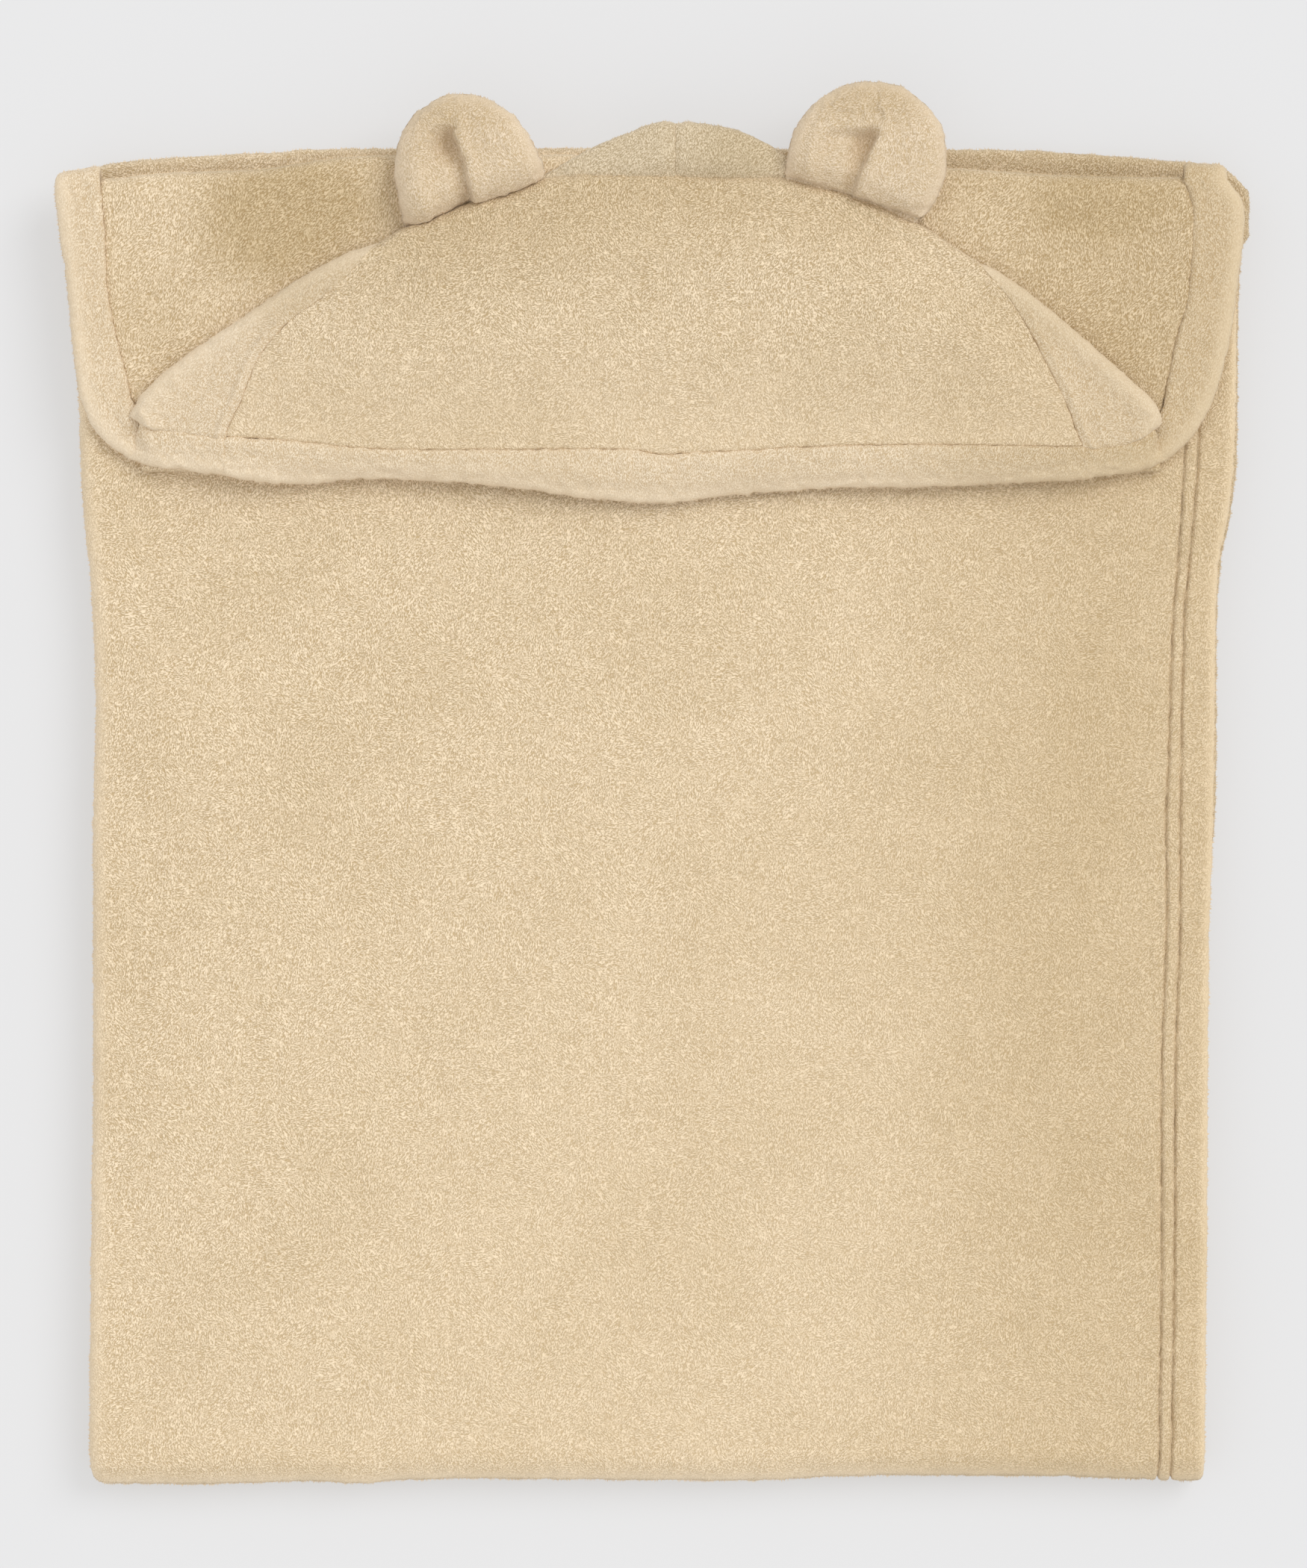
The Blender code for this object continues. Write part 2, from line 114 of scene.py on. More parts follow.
BAND_INSIDE = {
    "left": [(-187.6, 204.8), (-186.3, 189), (-185.3, 168), (-182.5, 153), (-179.4, 141), (-177, 131),
        (-173, 122.4), (-160, 119.6), (-144.7, 117.4)],
    "right": [(180, 205.4), (183, 194), (182.6, 182), (181.4, 166), (178, 153), (174.6, 138),
        (171.2, 123.4), (160, 115.6), (145, 114.2)],
}
BAND_OUTSIDE = {
    "left": [(-203.2, 202), (-201.6, 187), (-199.6, 173), (-195.8, 138), (-191.6, 123.6),
        (-184, 114.4), (-172.3, 108.4), (-158, 106.2), (-145.2, 104.5)],
    "right": [(194.8, 205), (200.2, 197), (200, 184), (197.8, 166), (195, 148), (190.6, 132),
        (183.2, 118.6), (170, 107.8), (145.6, 103.2)],
}
STITCH_LINE = [
    (-145.2, 117.4), (-118.5, 115.6), (-97, 113.4), (-64, 112.8), (-22, 113.2), (-6, 112.6),
    (3, 111.3), (13, 112), (30, 112.6), (59, 114.2), (96, 114.6), (145.8, 114)]
HEM_EDGE = [
    (-145.6, 104.6), (-134, 102.5), (-118.5, 101.5), (-98, 103.5), (-65, 102), (-44, 100), (-24, 97),
    (2.3, 95.2), (23, 97.6), (59, 100.2), (96, 100.8), (146.4, 103)]
SEAM = {
    "left": [(-145.2, 117.4), (-143.5, 122), (-139, 131), (-133.5, 144), (-123.6, 155.5), (-108, 167),
        (-92.5, 183.5)],
    "right": [(145.8, 114), (143.8, 118), (140.4, 127), (136, 136), (129, 149), (121.6, 161.5),
        (108.6, 177.6)],
}
FOLD = {
    "left": [(-174.4, 119.6), (-177.6, 124.8), (-173.4, 132.2), (-163.9, 141.4), (-149.3, 151.8),
        (-134, 162.2), (-118.5, 172.6), (-103, 180.7), (-92.5, 184)],
    "right": [(170.6, 117.2), (172.6, 122.4), (169.6, 129.6), (159.1, 139.6), (147.2, 150.5),
        (131.2, 164), (119, 173.2), (108.6, 178.4)],
}
CROWN_EDGE = [
    (-92.5, 184), (-84, 189.2), (-74, 192.6), (-60.7, 198.4), (-49, 201.4), (-34.5, 206.4),
    (-10, 208), (22, 207), (44, 206.6), (56, 203.6), (74, 198.4), (90, 190.6), (108.6, 178.4)]
DOME_EDGE = [
    (-46, 200), (-37, 206.4), (-28.5, 211.4), (-17.8, 217.2), (-7.3, 221.2), (3, 224.8),
    (17, 223.8), (27.2, 222.2), (34.5, 219), (45, 212.6), (54, 204)]
EARS = {
    "left": {
        "base": [(-82, 190.6), (-74, 193.2), (-60.7, 198.8), (-49, 201.8), (-38.4, 206)],
        "near": [(-84.6, 189.6), (-86.8, 200.3), (-87.6, 209), (-85.6, 219), (-81.4, 226.6)],
        "sunk": 5.6,
        "crest": [(-81.4, 226.6), (-72.1, 232.4), (-64.7, 233.5), (-56, 231.8), (-46.6, 225.8)],
        "far": [(-37, 208), (-38.6, 212.6), (-41.6, 218.4), (-46.6, 225.8)],
        "pleat": [(-61.2, 194), (-63.5, 207.6), (-65.5, 214), (-67.8, 219.4)],
        "pocket": (-69.5, 215.5),
    },
    "right": {
        "base": [(44.6, 208), (56, 204.6), (67, 201.2), (79, 197.2), (88.4, 194)],
        "near": [(44.6, 208), (45.6, 214), (47.8, 221.5), (53.4, 229.6)],
        "crest": [(53.4, 229.6), (63.2, 235.9), (73.1, 237.7), (84, 235.9), (92.4, 229.8)],
        "far": [(93.6, 194.6), (97.8, 203), (99.2, 211.2), (97.4, 222.6), (92.4, 229.8)],
        "sunk": 3.4,
        "pleat": [(66.6, 196.5), (68, 201.3), (71.8, 211.2), (75.4, 218.3)],
        "pocket": (70.5, 216),
    },
}
HEM_ROWS = {
    "inner": [(171.8, -236), (172.6, -165), (172.8, -92), (174.4, -50), (174.2, -12), (175.2, 12),
        (176.4, 52), (178.2, 76), (179.8, 99), (180.6, 116)],
    "outer": [(176, -236), (177, -165), (177.4, -92), (178.9, -50), (179, -12), (179.4, 12),
        (180.4, 56), (182.2, 76), (184.4, 102), (185.4, 118)],
}
DOME_SEAM_X = 7.3


# ---- curves and grids

def walk(line):
    """Distance from a line's start to each of its points."""
    return np.concatenate([[0], np.cumsum(np.linalg.norm(np.diff(line, axis=0), axis=1))])


def curve_at(points, fractions):
    """Places at the given fractions of a smooth curve through the points."""
    control = np.array(points, float)
    ends = np.vstack([2 * control[0] - control[1], control, 2 * control[-1] - control[-2]])
    share = np.linspace(0, 1, 24, endpoint=False)[:, None]
    spans = []
    for before, a, b, after in zip(ends, ends[1:], ends[2:], ends[3:]):
        spans.append(0.5 * (2 * a + (b - before) * share + (2 * before - 5 * a + 4 * b - after) * share**2
                            + (3 * a - before - 3 * b + after) * share**3))
    line = np.vstack([*spans, control[-1:]])
    walked = walk(line)
    return np.stack([np.interp(fractions, walked / walked[-1], line[:, k]) for k in (0, 1)], axis=-1)


def dense(points, count):
    """A smooth curve as a polyline of so many points."""
    return curve_at(points, np.linspace(0, 1, count))


def curve_length(points):
    return float(np.linalg.norm(np.diff(dense(points, 60), axis=0), axis=1).sum())


def x_on(points, y):
    """Where a line that runs up the towel stands at height y."""
    line = dense(points, 160)
    line = line[np.argsort(line[:, 1])]
    return np.interp(y, line[:, 1], line[:, 0])


def y_on(points, x):
    """Height of a line that runs across the towel, at x."""
    return x_on([point[::-1] for point in points], x)


def graded(length, step, start_r, end_r, fine=None):
    """Distances along a length, crowded at its round ends, in fours; fine is a (start, end, step)."""
    turn = np.cos(np.linspace(0, math.pi / 2, 5))[:4]
    stops, steps = [start_r, length - end_r], [step]
    if fine:
        stops, steps = [start_r, *fine[:2], length - end_r], [step, fine[2], step]
    cells = [max(1, round((b - a) / each)) for a, b, each in zip(stops, stops[1:], steps)]
    cells[0] += -sum(cells) % 4
    inside = [np.linspace(a, b, count + 1)[:-1] for a, b, count in zip(stops, stops[1:], cells)]
    last = (length - end_r * (1 - turn))[::-1]
    return np.concatenate([start_r * (1 - turn), *inside, [stops[-1]], last])


def shares(length, step, start_r, end_r):
    return graded(length, step, start_r, end_r) / length


def patch(bottom, top, left, right, u, v):
    """A surface in plan between four curves; u runs along bottom, v along left."""
    b, t = curve_at(bottom, u)[:, None], curve_at(top, u)[:, None]
    near, far = curve_at(left, v)[None], curve_at(right, v)[None]
    s, r = u[:, None, None], v[None, :, None]
    corners = (1 - s) * (1 - r) * b[0] + s * (1 - r) * b[-1] + (1 - s) * r * t[0] + s * r * t[-1]
    return (1 - r) * b + r * t + (1 - s) * near + s * far - corners


def strip(inner, outer, u, v):
    """A strip in plan between two long curves."""
    return patch([inner[0], outer[0]], [inner[-1], outer[-1]], inner, outer, u, v)


def distance_to(points, line):
    """Distance in plan from each point to a polyline."""
    nearest = np.full(points.shape[:-1], 1e9)
    for a, b in zip(line[:-1], line[1:]):
        along = b - a
        span = max(float(along @ along), 1e-9)
        share = np.clip(((points - a) @ along) / span, 0, 1)
        nearest = np.minimum(nearest, np.linalg.norm(points - a - share[..., None] * along, axis=-1))
    return nearest


def ease(value):
    value = np.clip(value, 0, 1)
    return value * value * (3 - 2 * value)


def bell(value, width):
    return np.exp(-((value / width) ** 2))


def close_to(distance, width):
    """1 at an edge, falling to 0 a width away from it."""
    return 1 - ease(distance / width)


def beside(points, line, start, width):
    """1 along a polyline, falling to 0 over a width that begins at start."""
    return close_to(distance_to(points, line) - start, width)


def rounded(distance, radius):
    """Height share of a round edge at a distance in from it."""
    return np.sqrt(1 - (1 - np.clip(distance / radius, 0, 1)) ** 2)


# ---- pile

def lattice_noise(points, cell, seed):
    """Smooth noise between -1 and 1 whose bumps are about a cell wide."""
    scaled = points / np.asarray(cell, float)
    base = np.floor(scaled).astype(np.int64)
    part = scaled - base
    part = part * part * (3 - 2 * part)
    total = np.zeros(points.shape[:-1])
    for corner in np.ndindex(2, 2, 2):
        key = (base + corner) * np.array([73856093, 19349663, 83492791])
        value = key[..., 0] ^ key[..., 1] ^ key[..., 2] ^ (seed * 40503)
        value = ((value ^ (value >> 13)) * 1274126177) & 0x7FFFFFFF
        value = ((value ^ (value >> 16)) & 0xFFFF) / 32767.5 - 1
        weight = np.prod(np.where(corner, part, 1 - part), axis=-1)
        total += weight * value
    return total


def pile(points, seed, depth):
    """Relief of the fleece's tufts and of the soft hollows between them."""
    tufts = 1 - np.abs(lattice_noise(points, 2.6, seed)) * 2
    crossed = 1 - np.abs(lattice_noise(points, (4.2, 2.4, 2.6), seed + 3)) * 2
    patches = lattice_noise(points, 11.0, seed + 7)
    return depth * (0.11 * tufts + 0.10 * crossed + 0.08 * patches)


def fuzz(points, seed, reach):
    """Small shifts in every direction, which roughen an edge as pile does."""
    return reach * np.stack([lattice_noise(points, 1.7, seed + k) for k in (11, 12, 13)], axis=-1)


def drape(points, seed, height):
    """Slow waves of cloth that was smoothed by hand."""
    slow = lattice_noise(points, 95.0, seed) + 0.55 * lattice_noise(points, 41.0, seed + 1)
    return height * slow


# ---- thick sheets

def sheet_faces(nu, nv):
    """Faces of a closed sheet: a full grid above and a grid four times coarser below."""
    rows, columns = np.arange(4, nu - 1, 4), np.arange(4, nv - 1, 4)
    top = np.arange(nu * nv).reshape(nu, nv)
    low = nu * nv + np.arange(len(rows) * len(columns)).reshape(len(rows), -1)
    above = np.stack([top[:-1, :-1], top[1:, :-1], top[1:, 1:], top[:-1, 1:]], axis=-1)
    below = np.stack([low[:-1, :-1], low[:-1, 1:], low[1:, 1:], low[1:, :-1]], axis=-1)
    faces = [*above.reshape(-1, 4).tolist(), *below.reshape(-1, 4).tolist(), *ring_faces(top, low)]
    return faces, rows, columns


def ring_faces(top, low):
    """Triangles between the rim and the coarse grid inside it, on the underside."""
    last_u, last_v = top.shape[0] - 1, top.shape[1] - 1
    rim = [(i, 0) for i in range(last_u)] + [(last_u, j) for j in range(last_v)]
    rim += [(i, last_v) for i in range(last_u, 0, -1)] + [(0, j) for j in range(last_v, 0, -1)]

    def nearest(place):
        return int(low[tuple(min(max(round(k / 4) - 1, 0), n - 1) for k, n in zip(place, low.shape))])

    faces = []
    for here, there in zip(rim, rim[1:] + rim[:1]):
        near, far = nearest(here), nearest(there)
        faces.append((int(top[here]), near, int(top[there])))
        if near != far:
            faces.append((near, far, int(top[there])))
    return faces


def edge_profile(middle, radii, bases):
    """Share of the thickness over a grid, round at its edges; a base above 0 keeps a seam shallow."""
    share = np.ones(middle.shape[:2])
    for axis in (0, 1):
        steps = np.linalg.norm(np.diff(middle, axis=axis), axis=-1)
        start = np.zeros_like(np.take(steps, [0], axis=axis))
        walked = np.cumsum(np.concatenate([start, steps], axis=axis), axis=axis)
        whole = np.take(walked, [-1], axis=axis)
        for away, k in ((walked, 2 * axis), (whole - walked, 2 * axis + 1)):
            share *= bases[k] + (1 - bases[k]) * rounded(away, radii[k])
    return share


def surface_normals(middle, facing):
    """Unit normals of a grid, and whether they face the other way."""
    normal = np.cross(np.gradient(middle, axis=0), np.gradient(middle, axis=1))
    normal /= np.maximum(np.linalg.norm(normal, axis=-1, keepdims=True), 1e-9)
    return normal, (normal[..., 2].mean() < 0) != (facing < 0)


def edge_lines(grid, side):
    """The outermost line on one side of a grid, or round one of its folds, and a line inside it."""
    rims = {"first_u": (grid[0], grid[4]), "last_u": (grid[-1], grid[-5]),
            "first_v": (grid[:, 0], grid[:, 4]), "last_v": (grid[:, -1], grid[:, -5])}
    if side in rims:
        return rims[side]
    folds = {"left_fold": (0, (1, 0, 0)), "bottom_fold": (1, (0, 1, 0)), "top_fold": (1, (0, -1, 0))}
    axis, inward = folds[side]
    outermost = np.argmin(grid[..., axis] * inward[axis], axis=axis)
    picked = np.take_along_axis(grid, np.expand_dims(outermost, (axis, 2)), axis=axis).squeeze(axis)
    return picked, picked + np.array(inward)


def fringe(grid, side, seed):
    """Points and faces of the ragged pile that stands out along one side of a sheet."""
    line, within = edge_lines(grid, side)
    walked = walk(line)
    stops = np.arange(0, walked[-1], HAIR_PITCH)
    edge, inner = (np.stack([np.interp(stops, walked, each[:, k]) for k in range(3)], axis=-1)
                   for each in (line, within))
    outward = (edge - inner) * (1, 1, 0)
    outward /= np.maximum(np.linalg.norm(outward, axis=1, keepdims=True), 1e-6)
    random = np.random.default_rng(seed)
    count = len(stops) - 1
    length = HAIR_REACH * random.uniform(0.1, 1.0, (count, 1)) ** 1.8
    lean = (edge[1:] - edge[:-1]) * random.uniform(-0.6, 1.6, (count, 1))
    tips = edge[:-1] + lean + outward[:-1] * length + (0, 0, 1) * random.uniform(-0.3, 0.3, (count, 1))
    rows = np.vstack([edge - outward * 0.6, edge - outward * 0.1, tips])
    row = count + 1
    faces = [(i, i + 1, row + i + 1, row + i) for i in range(count)]
    faces += [(row + i, row + i + 1, 2 * row + i) for i in range(count)]
    return rows, faces


def thick_sheet(name, middle, up, down, radii=None, seed=1, depth=1.0, facing=1, relief=0.0, profile=None,
                rough=0.32, bases=(0, 0, 0, 0), rim=0, calm=0, hairy=()):
    """A closed sheet of fleece over a grid of middle points; facing -1 puts the fine side underneath.

    Its edges are round by radii or by profile. rim says where the pile turns over an edge and a painted
    highlight lies along it, calm where it was stroked flat, and hairy names the sides with ragged pile.
    """
    nu, nv = middle.shape[:2]
    if profile is None:
        profile = edge_profile(middle, radii, bases)
    grids = [np.broadcast_to(item, (nu, nv)) for item in (up, down, relief, profile, rim, calm)]
    normal, flip = surface_normals(middle, facing)
    if flip:
        middle, normal, grids = middle[::-1], -normal[::-1], [grid[::-1] for grid in grids]
    up, down, relief, profile, rim, calm = grids
    raised = (up + pile(middle, seed, depth) + relief) * profile
    fine = middle + normal * raised[..., None] + fuzz(middle, seed, rough)
    low = middle - normal * (down * profile)[..., None]
    faces, rows, columns = sheet_faces(nu, nv)
    points = [fine.reshape(-1, 3), low[np.ix_(rows, columns)].reshape(-1, 3)]
    for k, side in enumerate(hairy):
        hairs, more = fringe(fine[::-1] if flip else fine, side, seed + 500 + k)
        first = sum(len(block) for block in points)
        faces += [tuple(first + corner for corner in face) for face in more]
        points.append(hairs)
    points = np.vstack(points)
    points[:, 2] = np.maximum(points[:, 2], 0)  # the table holds the lowest ply flat
    piece = mesh_piece(name, points * MM, faces)
    # rim paints a highlight where the pile turns over an edge; the ragged pile gets it in full.
    for key, value in (("rim", rim), ("calm", calm)):
        values = np.full(len(points), float(key == "rim"))
        values[:nu * nv] = value.reshape(-1)
        values[nu * nv:nu * nv + len(rows) * len(columns)] = 0.0
        piece.data.attributes.new(key, "FLOAT", "POINT").data.foreach_set("value", values)
    return piece


def add_object(name, data):
    made = bpy.data.objects.new(name, data)
    bpy.context.scene.collection.objects.link(made)
    return made


def mesh_piece(name, points, faces):
    mesh = bpy.data.meshes.new(name)
    mesh.from_pydata(points.tolist(), [], faces)
    mesh.update()
    mesh.shade_smooth()
    return add_object(name, mesh)


def raise_plan(plan, heights):
    return np.concatenate([plan, np.broadcast_to(heights, plan.shape[:-1])[..., None]], axis=-1)


# ---- materials

def feed(made, inputs):
    """Give the inputs of a node a link or a plain value each."""
    for key, value in inputs.items():
        socket = made.inputs[key]
        if isinstance(value, bpy.types.NodeSocket):
            made.id_data.links.new(value, socket)
        else:
            socket.default_value = (*value, 1.0) if socket.type == "RGBA" else value


def node(tree, kind, inputs=None, **settings):
    made = tree.nodes.new("ShaderNode" + kind)
    for key, value in settings.items():
        setattr(made, key, value)
    feed(made, inputs or {})
    return made


def math_node(tree, operation, first, second, clamp=False):
    return node(tree, "Math", {0: first, 1: second}, operation=operation, use_clamp=clamp).outputs[0]


def noise_node(tree, place, scale, detail, length=1.0, turn=0.0, distortion=0.0):
    """A noise texture, drawn out by length along a direction turned in plan."""
    mapping = node(tree, "Mapping", {"Vector": place, "Scale": (length, 1.0, 1.0),
                                     "Rotation": (0.0, 0.0, math.radians(turn))}, vector_type="TEXTURE")
    return node(tree, "TexNoise", {"Vector": mapping.outputs[0], "Scale": scale, "Detail": detail,
                                   "Distortion": distortion}).outputs["Fac"]


def mix_value(tree, factor, first, second):
    return node(tree, "Mix", {0: factor, 2: first, 3: second}, data_type="FLOAT").outputs[0]


def mix_colour(tree, factor, first, second):
    return node(tree, "Mix", {0: factor, 6: first, 7: second}, data_type="RGBA").outputs[2]


def tinted(colour, amount):
    return tuple(float(channel) for channel in np.multiply(colour, amount))


# The same darker share also paints shade in the ovals named further down.
LEANING_AND_SHADE = (0.76, 0.72, 0.62)  # colour of pile seen from its side, as a share of its upright colour
TUFT_SCALE = 2650.0  # of the noise that makes the tufts


def fade(tree, value, low, high):
    """0 below low and 1 above high, softly between."""
    return node(tree, "MapRange", {"Value": value, "From Min": low, "From Max": high},
                interpolation_type="SMOOTHSTEP").outputs["Result"]


def tuft_pattern(tree, place, scale, length, turns):
    """Fine winding tufts that lie in a different direction from one patch to the next."""
    tufts = noise_node(tree, place, scale, 0.6, length, turns[0], 0.5)
    for turn, amount, corner in zip(turns[1:], (0.44, 0.50, 0.53), (0, 70, 20)):
        other = noise_node(tree, place, scale, 0.6, length, turn, 0.5)
        where = fade(tree, noise_node(tree, place, 58.0, 2.0, 1.0, corner), amount, amount + 0.07)
        tufts = mix_value(tree, where, tufts, other)
    return fade(tree, tufts, 0.31, 0.69)


def calm_and_edge_highlight(tree, tufts):
    """Stroked pile shows less pattern; over an edge its tips close up and a painted highlight lies along
    it.
    """
    for attribute, level, share in (("calm", 0.52, 1.0), ("rim", 0.9, 0.7)):
        amount = node(tree, "Attribute", attribute_name=attribute).outputs["Fac"]
        away = math_node(tree, "MULTIPLY", math_node(tree, "SUBTRACT", level, tufts), share)
        tufts = math_node(tree, "ADD", tufts, math_node(tree, "MULTIPLY", away, amount))
    return tufts


def nap_and_shade_oval(tree, place, x, y, reach_x, reach_y):
    """1 in the middle of an oval in plan (mm), falling softly to 0 at its edge."""
    mapping = node(tree, "Mapping", {"Vector": place, "Location": (x * MM, y * MM, 0.0),
                                     "Scale": (reach_x * MM, reach_y * MM, 1.0)}, vector_type="TEXTURE")
    oval = node(tree, "TexGradient", {"Vector": mapping.outputs[0]}, gradient_type="SPHERICAL")
    return fade(tree, oval.outputs["Fac"], 0.0, 0.75)


def nap_and_painted_shade(tree, place, side, naps_and_shade):
    """How far the colour turns to its darker leaning share: where the nap leans away in broad clouds and
    towards the right, and in the ovals named, many of them painted shade.
    """
    clouds = fade(tree, noise_node(tree, place, 22.0, 3.0), 0.42, 0.66)
    axes = node(tree, "SeparateXYZ", {0: place})
    amount = math_node(tree, "MULTIPLY", clouds, 0.17)
    to_right = math_node(tree, "MULTIPLY", fade(tree, axes.outputs["X"], 0.05, 0.155), side)
    amount = math_node(tree, "ADD", amount, to_right)
    for *oval, strength in naps_and_shade:
        patch_amount = math_node(tree, "MULTIPLY", nap_and_shade_oval(tree, place, *oval), strength)
        amount = math_node(tree, "ADD", amount, patch_amount)
    return math_node(tree, "MULTIPLY", amount, 1.0, clamp=True)


def add_bump(tree, shader, height, strength, distance):
    bump = node(tree, "Bump", {"Strength": strength, "Distance": distance, "Height": height})
    feed(shader, {"Normal": bump.outputs[0]})


def new_material(name):
    """A new material with its node tree and its shader."""
    material = bpy.data.materials.new(name)
    material.use_nodes = True
    return material, material.node_tree, material.node_tree.nodes["Principled BSDF"]


def fleece_material(name, tip, root, tuft=1.0, length=2.0, turns=(4, 80, 45, -50), bump=0.6, side=0.5,
                    naps_and_shade=()):
    """Coral fleece: pale tips, tan roots and a soft sheen; roughness and relief follow the tufts."""
    material, tree, shader = new_material(name)
    place = node(tree, "TexCoord").outputs["Object"]
    tufts = calm_and_edge_highlight(tree, tuft_pattern(tree, place, TUFT_SCALE / tuft, length, turns))
    lumps = noise_node(tree, place, 330.0, 1.0)
    height = math_node(tree, "ADD", tufts, math_node(tree, "MULTIPLY", lumps, 0.6))
    add_bump(tree, shader, height, bump, 0.0005)
    # The leaning colour darkens pile that leans away and, in the named ovals, paints shade.
    upright = mix_colour(tree, tufts, root, tip)
    leaning_and_shaded = mix_colour(tree, tufts, tinted(root, LEANING_AND_SHADE), tinted(tip, LEANING_AND_SHADE))
    shade = mix_colour(tree, nap_and_painted_shade(tree, place, side, naps_and_shade), upright, leaning_and_shaded)
    feed(shader, {"Base Color": shade})
    roughness = node(tree, "MapRange", {"Value": tufts, "To Min": 0.98, "To Max": 0.82})
    feed(shader, {"Roughness": roughness.outputs["Result"], "Specular IOR Level": 0.18,
                  "Sheen Weight": 0.22, "Sheen Roughness": 0.45, "Sheen Tint": (1.0, 0.95, 0.86)})
    return material


def thread_material():
    """Twisted polyester thread, sunk in the pile."""
    material, tree, shader = new_material("sewing_thread")
    place = node(tree, "TexCoord").outputs["Object"]
    twist = noise_node(tree, place, 1800.0, 1.0, 3.0, 35)
    shade = mix_colour(tree, twist, (0.50, 0.36, 0.20), (0.70, 0.55, 0.35))
    feed(shader, {"Base Color": shade, "Roughness": 0.62})
    add_bump(tree, shader, twist, 0.5, 0.0002)
    return material


TIP, ROOT = (0.975, 0.805, 0.58), (0.56, 0.41, 0.23)
PALE_TIP, PALE_ROOT = (0.92, 0.775, 0.58), (0.625, 0.465, 0.28)
DULL_TIP, DULL_ROOT = (0.83, 0.70, 0.51), (0.485, 0.375, 0.23)
EAR_TIP, EAR_ROOT = tinted(TIP, (0.87, 0.87, 0.90)), tinted(ROOT, (1.05, 1.07, 1.12))

# Directions of the tufts in neighbouring patches, degrees.
COMBED = (58, 74, 40, 90)
UPRIGHT = (88, 70, 100, 60)

# Ovals of leaning pile, and of painted shade, that darken the colour: x, y and the two half widths in mm,
# then the strength.
# Painted shade along the top of the crown, beneath its edge.
CROWN_PAINTED_SHADE = ((-10, 212, 150, 52, 0.5), (-75, 176, 55, 34, 0.25))
# Painted shade near the top of each cheek, matching the crown's.
CHEEK_PAINTED_SHADE = ((-116, 168, 44, 24, 0.5), (124, 164, 40, 26, 0.2))
# The first is pile leaning away at the yoke's upper right; the other three are painted shade on the yoke
# beside the hood's left fold, the left band and the left ear.
YOKE_NAP_AND_SHADE = (
    (150, 196, 34, 16, 0.45), (-126, 192, 42, 34, 1.0), (-158, 156, 40, 40, 0.15),
    (-98, 205, 30, 26, 0.4))
DOME_NAPS = ((30, 214, 22, 20, 0.4),)
EAR_NAPS = ((73, 233, 30, 16, 0.5), (-65, 229, 30, 14, 0.35))

MATERIALS = {
    "body": fleece_material("fleece_body", tinted(TIP, 1.02), tinted(ROOT, 1.02)),
    "hood": fleece_material("fleece_hood", TIP, tinted(ROOT, 0.96), side=0.3, naps_and_shade=CROWN_PAINTED_SHADE),
    "hem": fleece_material("fleece_hem", PALE_TIP, PALE_ROOT, 0.95, turns=UPRIGHT, bump=0.45,
                           side=0.75),
    "cheek": fleece_material("fleece_cheek", tinted(PALE_TIP, 0.96), tinted(PALE_ROOT, 0.97), 0.9,
                             bump=0.45, side=0.35, naps_and_shade=CHEEK_PAINTED_SHADE),
    "inner": fleece_material("fleece_inner_face", tinted(TIP, 0.99), ROOT, 1.05, 2.2, COMBED,
                             bump=0.55, side=0.7, naps_and_shade=YOKE_NAP_AND_SHADE),
    "back": fleece_material("fleece_back", tinted(TIP, 0.93), tinted(ROOT, 0.93)),
    "dome": fleece_material("fleece_dome", DULL_TIP, DULL_ROOT, turns=COMBED, bump=0.45, naps_and_shade=DOME_NAPS),
    "ear": fleece_material("fleece_ear", EAR_TIP, EAR_ROOT, bump=0.5, side=0.0, naps_and_shade=EAR_NAPS),
    "thread": thread_material(),
}


def finish_piece(piece, material, slot, *stands_for):
    piece.data.materials.append(MATERIALS[material])
    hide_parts(*stands_for)


# ---- the folded towel

